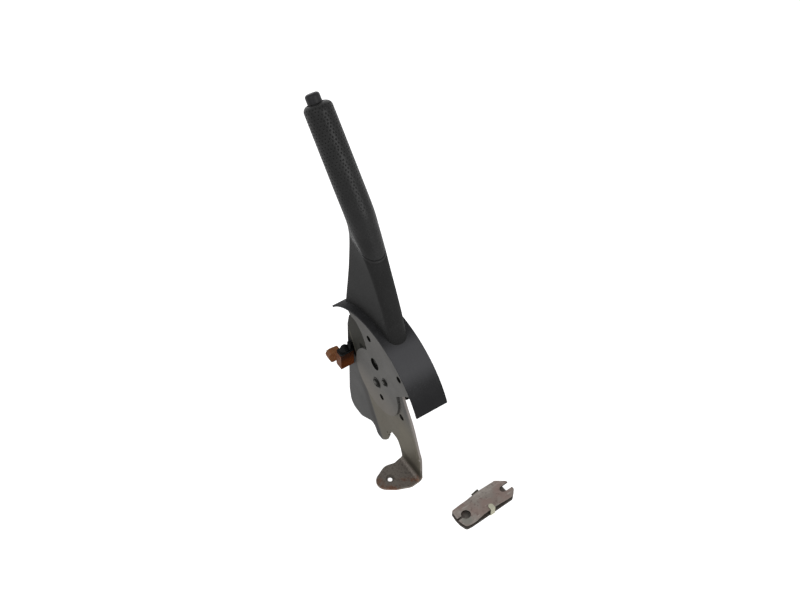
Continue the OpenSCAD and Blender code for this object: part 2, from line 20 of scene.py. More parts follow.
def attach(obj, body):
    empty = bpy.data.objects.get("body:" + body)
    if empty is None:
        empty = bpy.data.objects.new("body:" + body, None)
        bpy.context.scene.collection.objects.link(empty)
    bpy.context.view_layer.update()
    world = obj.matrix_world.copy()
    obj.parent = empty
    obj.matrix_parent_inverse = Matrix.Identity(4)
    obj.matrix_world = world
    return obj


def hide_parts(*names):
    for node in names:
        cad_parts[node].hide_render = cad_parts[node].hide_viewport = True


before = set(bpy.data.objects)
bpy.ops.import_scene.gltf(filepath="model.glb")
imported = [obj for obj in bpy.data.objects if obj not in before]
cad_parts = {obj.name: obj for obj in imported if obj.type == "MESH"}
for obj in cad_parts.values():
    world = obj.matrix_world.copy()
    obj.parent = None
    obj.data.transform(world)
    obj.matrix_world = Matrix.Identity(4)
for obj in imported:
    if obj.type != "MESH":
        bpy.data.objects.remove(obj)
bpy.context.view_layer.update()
LOG = logging.getLogger("parking_brake_lever")
MM = 0.001
PIVOT = Vector((0.068, -0.040, 0.104))
FLOOR_Z = -0.0172
MERGE = 2e-6
FLAT = math.radians(0.4)
PLATE_SHARP = 20.0
HALVINGS = 26

Colour = tuple[float, float, float]
Place = tuple[float, float, float]
Disc = tuple[float, float, float]
Point = tuple[float, float]
Span = tuple[float, float]


class Body(str, Enum):
    """The moving bodies that pieces ride on."""

    BASE = "base"
    LEVER = "lever"
    BUTTON = "button"
    PAWL = "pawl"
    PLUNGER = "plunger"


class Slot(str, Enum):
    """The record's material slots."""

    BASE_STEEL = "base_steel"
    CHEEK_STEEL = "cheek_steel"
    RIVET_STEEL = "rivet_steel"
    LINK_STEEL = "link_steel"
    ZINC = "zinc"
    GRIP = "grip_black"
    SHROUD = "shroud_black"
    COVER = "cover_black"
    BUTTON = "button_black"
    BROWN = "brown_plastic"


# A darker copy of the plate steel for the pressed arm: painted shade, as the arm lies in shadow between the
# cheeks.
SHADED_ARM_STEEL = "shaded_arm_steel"
SWITCH_BLACK = "switch_black"


class Sock:
    """A shader socket that takes part in Python sums."""

    def __init__(self, nodes: "Nodes", socket: bpy.types.NodeSocket) -> None:
        """Wraps one output socket of a tree."""
        self.nodes = nodes
        self.socket = socket

    def _sum(self, operation: str, first: "Number", second: "Number" = 0.0) -> "Sock":
        """Adds one Math node."""
        return self.nodes.node("ShaderNodeMath", {"operation": operation}, {0: first, 1: second})

    def __add__(self, other: "Number") -> "Sock":
        """self + other"""
        return self._sum("ADD", self, other)

    def __sub__(self, other: "Number") -> "Sock":
        """self - other"""
        return self._sum("SUBTRACT", self, other)

    def __rsub__(self, other: "Number") -> "Sock":
        """other - self"""
        return self._sum("SUBTRACT", other, self)

    def __mul__(self, other: "Number") -> "Sock":
        """self * other"""
        return self._sum("MULTIPLY", self, other)

    def __abs__(self) -> "Sock":
        """abs(self)"""
        return self._sum("ABSOLUTE", self)

    __radd__ = __add__
    __rmul__ = __mul__

    def root(self) -> "Sock":
        """The square root."""
        return self._sum("SQRT", self)

    def most(self, other: "Number") -> "Sock":
        """The larger of the two."""
        return self._sum("MAXIMUM", self, other)

    def step(self, low: float, high: float) -> "Sock":
        """A smooth rise from 0 at low to 1 at high, or a fall where low is the larger.

        Args:
            low: The value that gives 0.
            high: The value that gives 1.

        Returns:
            The smoothed step, between 0 and 1.
        """
        rise = self.nodes.node(
            "ShaderNodeMapRange", {"interpolation_type": "SMOOTHSTEP"},
            {"Value": self, "From Min": min(low, high), "From Max": max(low, high)})
        return rise if low < high else 1 - rise


Number = float | Sock


class Nodes:
    """A node tree under construction."""

    def __init__(self, tree: bpy.types.NodeTree) -> None:
        """Takes the tree to add to."""
        self.tree = tree

    def feed(self, socket: bpy.types.NodeSocket, value: object) -> None:
        """Links a socket to an input or sets the input's own value.

        Args:
            socket: The input.
            value: A socket or a plain value.
        """
        if isinstance(value, Sock):
            self.tree.links.new(value.socket, socket)
        else:
            socket.default_value = value

    def add(self, kind: str, settings: dict | None = None, inputs: dict | None = None) -> bpy.types.Node:
        """Adds a node.

        Args:
            kind: The node's type.
            settings: The node's own settings.
            inputs: Values or sockets by input name or number.

        Returns:
            The node.
        """
        made = self.tree.nodes.new(kind)
        for key, value in (settings or {}).items():
            setattr(made, key, value)
        for key, value in (inputs or {}).items():
            self.feed(made.inputs[key], value)
        return made

    def node(self, kind: str, settings: dict | None = None, inputs: dict | None = None,
             out: int | str = 0) -> Sock:
        """Adds a node and hands on one of its outputs, by name or number."""
        return Sock(self, self.add(kind, settings, inputs).outputs[out])

    def mix(self, mask: Number, first: object, second: object) -> Sock:
        """A colour between two others.

        Args:
            mask: 0 gives the first, 1 the second.
            first: A colour or a colour socket.
            second: A colour or a colour socket.

        Returns:
            The mixed colour.
        """
        pick = [c if isinstance(c, Sock) else (*c, 1.0) for c in (first, second)]
        return self.node("ShaderNodeMix", {"data_type": "RGBA", "clamp_factor": True},
                         {0: mask, 6: pick[0], 7: pick[1]}, 2)


class Paint(Nodes):
    """One node material under construction."""

    def __init__(self, name: str) -> None:
        """Starts a material with a Principled shader.

        Args:
            name: The material's name.
        """
        self.material = bpy.data.materials.new(name)
        self.material.use_nodes = True
        super().__init__(self.material.node_tree)
        self.tree.nodes.clear()
        self.shader = self.add("ShaderNodeBsdfPrincipled")
        self.add("ShaderNodeOutputMaterial", None, {"Surface": Sock(self, self.shader.outputs["BSDF"])})
        self.place = self.node("ShaderNodeTexCoord", out="Object")

    def fill(self, **values: object) -> None:
        """Sets the shader's sockets.

        Args:
            values: Colours, numbers or sockets by input name, with underscores for spaces.
        """
        for key, value in values.items():
            plain = (*value, 1.0) if isinstance(value, tuple) else value
            self.feed(self.shader.inputs[key.replace("_", " ")], plain)

    def axis(self, index: int) -> Sock:
        """One coordinate of the surface point, in metres."""
        return self.node("ShaderNodeSeparateXYZ", None, {0: self.place}, index)

    def facing(self, index: int) -> Sock:
        """One coordinate of the surface's normal."""
        normal = self.node("ShaderNodeTexCoord", out="Normal")
        return self.node("ShaderNodeSeparateXYZ", None, {0: normal}, index)

    def away(self, x: float, z: float) -> Sock:
        """Distance in metres from a line across the lever.

        Args:
            x: The line's place along the car.
            z: The line's height.

        Returns:
            The distance.
        """
        along, over = self.axis(0) - x, self.axis(2) - z
        return (along * along + over * over).root()

    def stretched(self, scale: Sequence[float], turn: Sequence[float] = (0, 0, 0)) -> Sock:
        """The surface point, turned and scaled."""
        return self.node("ShaderNodeMapping", {"vector_type": "POINT"},
                         {"Vector": self.place, "Scale": scale, "Rotation": turn})

    def mottle(self, scale: float, detail: float = 4, rough: float = 0.55,
               at: Sock | None = None) -> Sock:
        """Soft noise between about 0.25 and 0.75.

        Args:
            scale: Blotches per metre.
            detail: Octaves.
            rough: How strong the fine octaves are.
            at: Where to look, or the surface point.

        Returns:
            The noise value.
        """
        return self.node("ShaderNodeTexNoise", {"noise_dimensions": "3D"},
                         {"Vector": at or self.place, "Scale": scale, "Detail": detail,
                          "Roughness": rough})

    def cells(self, scale: float) -> Sock:
        """Distances in a field of random cells."""
        return self.node("ShaderNodeTexVoronoi", {"feature": "F1"},
                         {"Vector": self.place, "Scale": scale}, "Distance")

    def bump(self, height: Sock, depth: float, strength: float = 1.0) -> Sock:
        """A normal that follows a height field of that depth in metres."""
        return self.node("ShaderNodeBump", None,
                         {"Height": height, "Distance": depth, "Strength": strength}, "Normal")


@dataclass(frozen=True)
class Steel:
    """Dull plated sheet steel with faint clouds, rolling grain and a fine speckle."""

    name: str
    colour: Colour
    patch: Colour
    roughness: float = 0.55
    metallic: float = 0.85
    grain: tuple[float, float, float] = (30, 400, 900)
    pits: float = 0.35
    wall: Span = (0.0005, 0.0001)

    def stain(self, paint: Paint, colour: Sock) -> Sock:
        """Plain plated steel has no stains."""
        return colour

    def shade_holes(self, paint: Paint, colour: Sock, holes: Sequence[Disc], hole_shade: Colour) -> Sock:
        """Darkens the walls of holes across the lever with painted shade, as the holes look into shadow.

        Args:
            paint: The material.
            colour: The stained colour.
            holes: Each hole's place along the car, height and radius.
            hole_shade: The colour of the walls.

        Returns:
            The colour with dark holes.
        """
        for x, z, radius in holes:
            wall = paint.away(x, z).step(radius + self.wall[0], radius + self.wall[1])
            # Painted shade on the hole's wall.
            colour = paint.mix(wall * 0.95, colour, hole_shade)
        return colour

    def paint(self) -> bpy.types.Material:
        """Makes the material.

        Returns:
            The finished material.
        """
        p = Paint(self.name)
        cloud = p.mottle(30, 4, 0.5).step(0.3, 0.7)
        lines = p.mottle(1, 3, 0.6, p.stretched(self.grain))
        speck = p.mottle(1400, 2, 0.7)
        colour = p.mix(cloud, self.colour, self.patch)
        colour = p.mix(speck.step(0.5, 0.75) * self.pits, colour, tuple(c * 0.6 for c in self.patch))
        colour = p.mix(lines.step(0.52, 0.72) * 0.08, colour, tuple(c * 1.3 for c in self.colour))
        p.fill(Base_Color=self.stain(p, colour), Metallic=self.metallic, Specular_IOR_Level=0.1,
               Specular_Tint=(0.5, 0.5, 0.5),
               Roughness=self.roughness + 0.08 * cloud + 0.06 * (lines - 0.5),
               Normal=p.bump(lines * 0.2 + speck * 0.5, 0.00005, 0.4))
        return p.material


@dataclass(frozen=True)
class CheekSteel(Steel):
    """The cheeks' steel: yellower and lighter low down, with painted shade by the rivets and in the holes.
    """

    # Yellower with the plating's own tint, and lighter as painted light, since the cover shades the upper
    # cheek.
    low: Colour = (0.184, 0.170, 0.152)
    # Painted shade by the rivet heads, in the holes and on the far cheek's inner face.
    grime_and_shade: Colour = (0.012, 0.012, 0.011)
    low_high: Span = (0.118, 0.062)
    ring: float = 0.0014
    inner_side: Span = (-0.044, -0.048)
    rivets: tuple[Disc, ...] = ((0.0672, 0.1044, 0.0070), (0.0501, 0.1237, 0.0053))
    holes: tuple[Disc, ...] = (
        (0.0841, 0.1712, 0.0040), (0.0209, 0.1616, 0.0042), (0.0576, 0.0857, 0.0040),
        (0.0721, 0.1353, 0.0080))

    def stain(self, paint: Paint, colour: Sock) -> Sock:
        """Lays a yellower, lighter tone low down and painted shade over the plating.

        Args:
            paint: The material.
            colour: The plated colour.

        Returns:
            The stained colour.
        """
        p = paint
        # The lighter tone low down is painted light, standing in for the cover's shade above; the yellow is
        # the plating's own tint.
        colour = p.mix(p.axis(2).step(*self.low_high) * 0.85, colour, self.low)
        # A ring of painted shade round each rivet head, where it meets the plate.
        for x, z, radius in self.rivets:
            ring = p.away(x, z).step(radius + self.ring, radius)
            colour = p.mix(ring * 0.8, colour, self.grime_and_shade)
        # Painted shade in the holes.
        colour = self.shade_holes(p, colour, self.holes, self.grime_and_shade)
        # Painted shade on the far cheek's inner face, in shadow between the cheeks.
        inside = p.facing(1).step(0.3, 0.6) * p.axis(1).step(*self.inner_side)
        return p.mix(inside * 0.9, colour, self.grime_and_shade)


@dataclass(frozen=True)
class RivetSteel(Steel):
    """Rivet heads with a dark ring of painted shade round their middle, where the head's groove lies."""

    # Painted shade in the heads' rings.
    grime_and_shade: Colour = (0.008, 0.008, 0.007)
    heads: tuple[Disc, ...] = ((0.068, 0.104, 0.0065), (0.0507, 0.1234, 0.0048))
    lean: Point = (-0.0008, 0.0004)
    outer: Span = (0.98, 0.86)
    inner: Span = (0.34, 0.48)

    def stain(self, paint: Paint, colour: Sock) -> Sock:
        """Darkens a ring on each head with painted shade, wider towards its upper rear.

        Args:
            paint: The material.
            colour: The plated colour.

        Returns:
            The stained colour.
        """
        for x, z, radius in self.heads:
            rim = paint.away(x + self.lean[0], z + self.lean[1])
            middle = paint.away(x - self.lean[0], z - self.lean[1])
            ring = rim.step(*(radius * share for share in self.outer))
            ring = ring * middle.step(*(radius * share for share in self.inner))
            colour = paint.mix(ring * 0.95, colour, self.grime_and_shade)
        return colour


@dataclass(frozen=True)
class FootSteel(Steel):
    """The base plate's steel: yellowed down the leg, with rust on the foot and a toothed top darkened by
    painted shade.

    A span holds the two ends of a soft edge in metres, with nothing at the first and all at the second.
    """

    rust: Colour = (0.190, 0.082, 0.045)
    yellow: Colour = (0.176, 0.160, 0.128)
    # A paler strip along the leg's rear edge, and a painted highlight on its rear-facing faces.
    pale: Colour = (0.260, 0.235, 0.220)
    bare: Colour = (0.55, 0.53, 0.50)
    # Lighter round the hub: painted light, which leaves the belly further out darker, as in shade.
    rubbed: Colour = (0.152, 0.146, 0.136)
    foot: Colour = (0.200, 0.178, 0.158)
    # Dark speckles on the foot, painted shade in the crease and on the leg's root, and a darker ring round
    # the bolt hole.
    grime_and_shade: Colour = (0.030, 0.026, 0.022)
    # Painted shade on the toothed top, which lies in the cover's shadow.
    toothed_top_shade: Colour = (0.048, 0.047, 0.042)
    # Black painted shade in the holes, ahead of the fold and under the cheek's horn.
    black: Colour = (0.006, 0.006, 0.006)
    hub_reach: Span = (0.060, 0.046)
    leg_along: Span = (0.040, 0.020)
    leg_high: Span = (0.115, 0.060)
    fold: Point = (0.1241, 0.1167)
    fold_lean: float = 0.508
    behind_fold: Span = (0.003, -0.001)
    behind_high: Span = (0.088, 0.070)
    crease_from: Span = (0.001, 0.005)
    crease_to: Span = (0.020, 0.008)
    crease_high: Span = (0.075, 0.050)
    rear: Point = (0.017, 0.129)
    rear_lean: float = 0.4545
    edge_reach: Span = (0.0024, 0.0010)
    edge_foot: Span = (0.022, 0.034)
    edge_top: Span = (0.140, 0.128)
    side_along: Span = (0.030, 0.022)
    side_foot: Span = (0.012, 0.022)
    side_top: Span = (0.145, 0.135)
    chip: Point = (-0.0196, 0.0418)
    chip_reach: Span = (0.0018, 0.0009)
    band_foot: Span = (0.0070, 0.0105)
    band_top: Span = (0.026, 0.016)
    foot_high: Span = (0.010, 0.0045)
    foot_along: Span = (0.050, 0.042)
    rust_along: Span = (-0.003, -0.012)
    rust_across: Span = (0.006, 0.013)
    bolt_reach: Span = (0.0068, 0.0056)
    top_high: Span = (0.082, 0.112)
    top_along: Span = (0.062, 0.085)
    line_from: Span = (-0.0022, -0.0010)
    line_to: Span = (0.0006, 0.0)
    line_foot: Span = (0.094, 0.100)
    line_top: Span = (0.139, 0.133)
    shade_from: Span = (0.0, 0.0014)
    shade_top: Span = (0.130, 0.114)
    horn: Point = (0.1060, 0.1318)
    horn_reach: Span = (0.0055, 0.0030)
    holes: tuple[Disc, ...] = (
        (0.0190, 0.0866, 0.0042), (0.0841, 0.1712, 0.0045), (0.0209, 0.1616, 0.0047),
        (0.0576, 0.0857, 0.0045))

    def past_fold(self, along: Sock, high: Sock) -> Sock:
        """How far ahead of the plate's fold line a point lies."""
        return (along - self.fold[0]) - (high - self.fold[1]) * self.fold_lean

    def stain(self, paint: Paint, colour: Sock) -> Sock:
        """Lays the yellow cast, the rust, dark speckles and painted light and shade over the plating.

        Args:
            paint: The material.
            colour: The plated colour.

        Returns:
            The stained colour.
        """
        along, high = paint.axis(0), paint.axis(2)
        for lay in (self.on_leg, self.on_edges, self.on_foot, self.on_top):
            colour = lay(paint, colour, along, high)
        return colour

    def on_leg(self, paint: Paint, colour: Sock, along: Sock, high: Sock) -> Sock:
        """Lightens the plate round the hub as painted light, the belly beyond staying shaded, and yellows
        the leg behind the fold.

        Args:
            paint: The material.
            colour: The plated colour.
            along: The place along the car.
            high: The height.

        Returns:
            The stained colour.
        """
        p, fold = paint, self.past_fold(along, high)
        # Painted light round the hub; the belly further out keeps a darker, shaded tone.
        hub = p.away(PIVOT.x, PIVOT.z).step(*self.hub_reach)
        colour = p.mix(hub * 0.6, colour, self.rubbed)
        behind = fold.step(*self.behind_fold) * high.step(*self.behind_high)
        cast = high.step(*self.leg_high) * along.step(*self.leg_along)
        return p.mix(cast.most(behind * 0.8) * 0.85, colour, self.yellow)

    def on_edges(self, paint: Paint, colour: Sock, along: Sock, high: Sock) -> Sock:
        """Pales the leg's rear edge, with a painted highlight on its rear-facing faces, and paints shade in
        its crease, its holes and its root.

        Args:
            paint: The material.
            colour: The stained colour.
            along: The place along the car.
            high: The height.

        Returns:
            The stained colour.
        """
        p, fold = paint, self.past_fold(along, high)
        # A paler strip along the rear edge, and a painted highlight on the rear-facing faces.
        edge = along - (high - self.rear[1]) * self.rear_lean - self.rear[0]
        worn = edge.step(*self.edge_reach) * high.step(*self.edge_top) * high.step(*self.edge_foot)
        side = p.facing(0).step(-0.4, -0.7) * high.step(*self.side_foot) * high.step(*self.side_top)
        pale = (worn * 0.35).most(side * along.step(*self.side_along) * 0.85)
        colour = p.mix(pale, colour, self.pale)
        # Painted shade in the crease ahead of the fold line.
        crease = fold.step(*self.crease_from) * fold.step(*self.crease_to) * high.step(*self.crease_high)
        colour = p.mix(crease * 0.35, colour, self.grime_and_shade)
        colour = p.mix(p.away(*self.chip).step(*self.chip_reach) * 0.8, colour, self.bare)
        # Painted shade in the holes.
        colour = self.shade_holes(p, colour, self.holes, self.black)
        # Painted shade on the leg's root, just above the foot's bend.
        band = high.step(*self.band_foot) * high.step(*self.band_top) * along.step(*self.leg_along)
        return p.mix(band * 0.45, colour, self.grime_and_shade)

    def on_foot(self, paint: Paint, colour: Sock, along: Sock, high: Sock) -> Sock:
        """Browns the foot, with speckles all over it and rust at its rear and its left rim.

        Args:
            paint: The material.
            colour: The stained colour.
            along: The place along the car.
            high: The height.

        Returns:
            The stained colour.
        """
        p = paint
        foot = high.step(*self.foot_high) * along.step(*self.foot_along)
        colour = p.mix(foot * 0.9, colour, self.foot)
        rust = p.mottle(70, 6, 0.65).step(0.42, 0.58) * along.step(*self.rust_along)
        rim = p.mottle(90, 5, 0.65).step(0.46, 0.60) * p.axis(1).step(*self.rust_across)
        colour = p.mix(foot * rust.most(rim * 0.7) * 0.75, colour, self.rust)
        colour = p.mix(foot * p.mottle(420, 4, 0.7).step(0.46, 0.66) * 0.4, colour, self.grime_and_shade)
        # A darker ring round the bolt hole.
        ring = p.node("ShaderNodeVectorMath", {"operation": "LENGTH"}, {0: p.place}, "Value")
        return p.mix(ring.step(*self.bolt_reach) * 0.45, colour, self.grime_and_shade)

    def on_top(self, paint: Paint, colour: Sock, along: Sock, high: Sock) -> Sock:
        """Paints shade on the toothed top ahead of the pivot and more before its fold, a fold highlight and
        a horn shadow.

        Args:
            paint: The material.
            colour: The stained colour.
            along: The place along the car.
            high: The height.

        Returns:
            The darkened colour.
        """
        p, fold = paint, self.past_fold(along, high)
        # Painted shade on the toothed top, in the cover's shadow.
        colour = p.mix(high.step(*self.top_high) * along.step(*self.top_along), colour, self.toothed_top_shade)
        # A painted highlight along the fold line.
        near = high.step(*self.line_foot) * high.step(*self.line_top)
        line = fold.step(*self.line_from) * fold.step(*self.line_to)
        colour = p.mix(line * near * 0.5, colour, self.yellow)
        # Black painted shade ahead of the fold, and a painted shadow under the cheek's horn.
        shade = fold.step(*self.shade_from) * high.step(*self.line_foot) * high.step(*self.shade_top)
        horn_shadow = p.away(*self.horn).step(*self.horn_reach) * 0.7
        return p.mix(shade.most(horn_shadow), colour, self.black)


@dataclass(frozen=True)
class LinkSteel(Steel):
    """Brown-grey link plates with a purplish cast, rubbed streaks, dark speckles, a painted highlight on
    the lip and painted shade on side faces.
    """

    cast: Colour = (0.245, 0.185, 0.165)
    # A painted highlight on the keyhole's near lip.
    lip_light: Colour = (0.215, 0.212, 0.190)
    pale: Colour = (0.44, 0.42, 0.39)
    # Dark speckles, and painted shade on the side faces and the lower plate.
    edge: Colour = (0.026, 0.024, 0.021)
    lip: Place = (-0.0946, -0.0487, -0.009)
    lip_reach: Span = (0.0075, 0.005)
    lower_high: Span = (-0.0140, -0.0146)

    def stain(self, paint: Paint, colour: Sock) -> Sock:
        """Lays rubbed streaks and a warm cast over the steel, a painted highlight on the lip and painted
        shade on its side faces and lower plate.

        Args:
            paint: The material.
            colour: The plain steel.

        Returns:
            The stained colour.
        """
        p = paint
        streak = p.mottle(1, 5, 0.7, p.stretched((380, 60, 200), (0, 0, 0.5)))
        colour = p.mix(p.mottle(60, 5, 0.6).step(0.42, 0.6) * 0.8, colour, self.cast)
        colour = p.mix(streak.step(0.54, 0.68) * 0.5, colour, self.pale)
        colour = p.mix(p.mottle(240, 4, 0.7).step(0.52, 0.68) * 0.35, colour, self.edge)
        # A painted highlight on the keyhole's near lip.
        lip = p.node("ShaderNodeVectorMath", {"operation": "DISTANCE"},
                     {0: p.place, 1: self.lip}, "Value")
        colour = p.mix(lip.step(*self.lip_reach) * 0.8, colour, self.lip_light)
        # Painted shade on the lower plate and on the side faces, standing in for their contact shadow.
        lower = p.axis(2).step(*self.lower_high)
        side = abs(p.facing(2)).step(0.85, 0.45)
        return p.mix(side.most(lower * 0.5), colour, self.edge)


@dataclass(frozen=True)
class ZincSteel(Steel):
    """Pale zinc plating, with painted shade on the link clip's far tab."""

    dull: Colour = (0.014, 0.013, 0.011)
    tab_along: Span = (-0.0730, -0.0720)
    below: Span = (0.0, -0.001)

    def stain(self, paint: Paint, colour: Sock) -> Sock:
        """Paints shade on the far tab, which is all the zinc beyond its line and below the foot."""
        # Painted shade on the far tab, which lies in shadow.
        tab = paint.axis(0).step(*self.tab_along) * paint.axis(2).step(*self.below)
        return paint.mix(tab * 0.9, colour, self.dull)


@dataclass(frozen=True)
class Plastic:
    """Moulded plastic with a fine spark texture and rubbed patches."""

    name: str
    colour: Colour
    rubbed: Colour
    roughness: float = 0.6
    grain: float = 1500
    depth: float = 0.00003
    shine: float = 0.22

    def shade(self, paint: Paint, colour: Sock) -> Sock:
        """Plain mouldings keep their colour."""
        return colour

    def paint(self) -> bpy.types.Material:
        """Makes the material.

        Returns:
            The finished material.
        """
        p = Paint(self.name)
        cloud = p.mottle(45, 4, 0.6)
        fine = p.cells(self.grain)
        speck = p.mottle(self.grain * 0.7, 2, 0.6)
        colour = p.mix(cloud.step(0.4, 0.68), self.colour, self.rubbed)
        colour = p.mix(speck.step(0.55, 0.75) * 0.3, colour, tuple(c * 1.8 for c in self.rubbed))
        dust = p.mottle(620, 3, 0.65)
        colour = p.mix(dust.step(0.50, 0.72) * 0.5, colour, tuple(c * 1.9 for c in self.rubbed))
        p.fill(Base_Color=self.shade(p, colour), Specular_IOR_Level=self.shine,
               Roughness=self.roughness + 0.14 * (cloud - 0.5) + 0.1 * (speck - 0.5),
               Normal=p.bump(fine + 0.5 * speck, self.depth, 0.6))
        return p.material


@dataclass(frozen=True)
class CoverPlastic(Plastic):
    """The slot cover's plastic, paler in a band and scuffed along its arc."""

    tail_high: Span = (0.184, 0.158)
    # Where the paler band across the arc lies.
    pale_high: Span = (0.174, 0.192)
    pale_along: Span = (0.048, 0.026)

    def shade(self, paint: Paint, colour: Sock) -> Sock:
        """Darkens the tail and lays pale scuffs across the arc.

        Args:
            paint: The material.
            colour: The moulded colour.

        Returns:
            The worn colour.
        """
        p = paint
        tail = p.axis(2).step(*self.tail_high)
        # A paler band across the middle of the arc.
        worn = p.axis(2).step(*self.pale_high) * p.axis(0).step(*self.pale_along)
        scuff = p.mottle(1, 5, 0.7, p.stretched((60, 900, 60)))
        colour = p.mix(worn * 0.8, colour, tuple(c * 2.6 for c in self.rubbed))
        colour = p.mix(scuff.step(0.55, 0.7) * 0.35, colour, tuple(c * 1.7 for c in self.rubbed))
        return p.mix(tail * 0.8, colour, tuple(c * 0.5 for c in self.colour))


@dataclass(frozen=True)
class GripPlastic(Plastic):
    """The grip's plastic, with painted shade in its pits and rubbed on the ridges between them."""

    def paint(self) -> bpy.types.Material:
        """Makes the material from the skin's height.

        Returns:
            The finished material.
        """
        p = Paint(self.name)
        ridge = p.node("ShaderNodeAttribute", {"attribute_name": "ridge"}, None, "Fac")
        speck = p.mottle(1600, 3, 0.6)
        cloud = p.mottle(35, 4, 0.6)
        # Painted shade in the pits: the colour darkens towards their middles.
        colour = p.mix(ridge.step(0.1, 0.8), tuple(c * 0.3 for c in self.colour), self.colour)
        colour = p.mix(ridge.step(0.5, 1.0) * cloud.step(0.42, 0.62), colour, self.rubbed)
        p.fill(Base_Color=colour, Specular_IOR_Level=self.shine,
               Roughness=self.roughness + 0.5 * (1 - ridge) + 0.1 * (speck - 0.5),
               Normal=p.bump(speck, self.depth, 0.5))
        return p.material


@dataclass(frozen=True)
class BrownPlastic(Plastic):
    """The switch's red-brown moulding, dusty on its left and sooty at the top."""

    dust: Colour = (0.300, 0.170, 0.115)
    soot: Colour = (0.012, 0.008, 0.007)
    soot_high: Span = (0.086, 0.101)
    lobe: Colour = (0.380, 0.175, 0.082)
    lobe_along: Span = (0.1354, 0.1357)

    def shade(self, paint: Paint, colour: Sock) -> Sock:
        """Lays dust on the lobe and the left faces, and soot on the rear face near its top.

        Args:
            paint: The material.
            colour: The moulded colour.

        Returns:
            The dirty colour.
        """
        p = paint
        dusty = p.mottle(160, 5, 0.65).step(0.36, 0.62)
        on_lobe = p.axis(0).step(*self.lobe_along)
        colour = p.mix(on_lobe * (0.55 + 0.4 * dusty), colour, self.lobe)
        colour = p.mix(p.facing(1).step(0.3, 0.8) * (0.35 + 0.5 * dusty), colour, self.dust)
        sooty = p.facing(0).step(-0.3, -0.8) * p.axis(2).step(*self.soot_high)
        return p.mix(sooty * (1 - on_lobe) * 0.8, colour, self.soot)


class Finishes:
    """The materials of the lever, made once and shared."""

    def __init__(self) -> None:
        """Paints every finish, by slot or by the name of a variant."""
        grey = 0.0095, 0.0095, 0.0095
        finishes: tuple[Steel | Plastic, ...] = (
            FootSteel(Slot.BASE_STEEL.value, (0.114, 0.113, 0.112), (0.104, 0.103, 0.102)),
            CheekSteel(Slot.CHEEK_STEEL.value, (0.146, 0.143, 0.138), (0.130, 0.127, 0.122)),
            RivetSteel(Slot.RIVET_STEEL.value, (0.170, 0.166, 0.160), (0.130, 0.126, 0.120)),
            LinkSteel(Slot.LINK_STEEL.value, (0.310, 0.280, 0.255), (0.215, 0.190, 0.170)),
            ZincSteel(Slot.ZINC.value, (0.52, 0.51, 0.40), (0.42, 0.41, 0.32), 0.42),
            GripPlastic(Slot.GRIP.value, grey, (0.016, 0.016, 0.016), 0.42, shine=0.22),
            Plastic(Slot.SHROUD.value, (0.018, 0.018, 0.018), (0.022, 0.022, 0.022), 0.70, shine=0.12),
            CoverPlastic(Slot.COVER.value, (0.026, 0.026, 0.0275), (0.036, 0.036, 0.038), 0.70, shine=0.12),
            Plastic(Slot.BUTTON.value, (0.012, 0.012, 0.013), (0.018, 0.018, 0.019), 0.45),
            BrownPlastic(Slot.BROWN.value, (0.210, 0.054, 0.014), (0.170, 0.046, 0.012), 0.6, shine=0.06),
            # The arm's steel, darkened as painted shade.
            Steel(SHADED_ARM_STEEL, (0.050, 0.048, 0.045), (0.034, 0.032, 0.030)),
            Plastic(SWITCH_BLACK, (0.008, 0.008, 0.008), (0.012, 0.012, 0.012), 0.6, shine=0.12),
        )
        self.by_name: dict[str, bpy.types.Material] = {f.name: f.paint() for f in finishes}

    def dress(self, piece: bpy.types.Object, finish: str) -> None:
        """Gives a piece or a node its finish.

        Args:
            piece: The object to finish.
            finish: The finish's name.
        """
        piece.data.materials.clear()
        piece.data.materials.append(self.by_name[finish])


FINISHES = Finishes()
Shaper = Callable[[bmesh.types.BMesh], None]


def ramp(value: float, low: float, high: float) -> float:
    """A straight rise from 0 at low to 1 at high."""
    return min(1.0, max(0.0, (value - low) / (high - low)))


def settle(name: str, mesh: bmesh.types.BMesh, body: Body, slot: Slot, *nodes: str,
           sharp: float = 32.0, finish: str = "") -> bpy.types.Object:
    """Turns a bmesh into a finished piece that rides on a body.

    Args:
        name: The piece's name.
        mesh: The shape, in the row frame; it is freed.
        body: The body that carries it.
        slot: Its material slot.
        nodes: The solids that it stands for.
        sharp: The angle in degrees past which an edge stays sharp.
        finish: A variant of the slot's finish.

    Returns:
        The piece.
    """
    data = bpy.data.meshes.new(name)
    mesh.to_mesh(data)
    mesh.free()
    data.shade_smooth()
    data.set_sharp_from_angle(angle=math.radians(sharp))
    piece = bpy.data.objects.new(name, data)
    bpy.context.scene.collection.objects.link(piece)
    FINISHES.dress(piece, finish or slot.value)
    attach(piece, body.value)
    if nodes:
        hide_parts(*nodes)
    LOG.info("%s: %d faces on %s", name, len(data.polygons), body.value)
    return piece


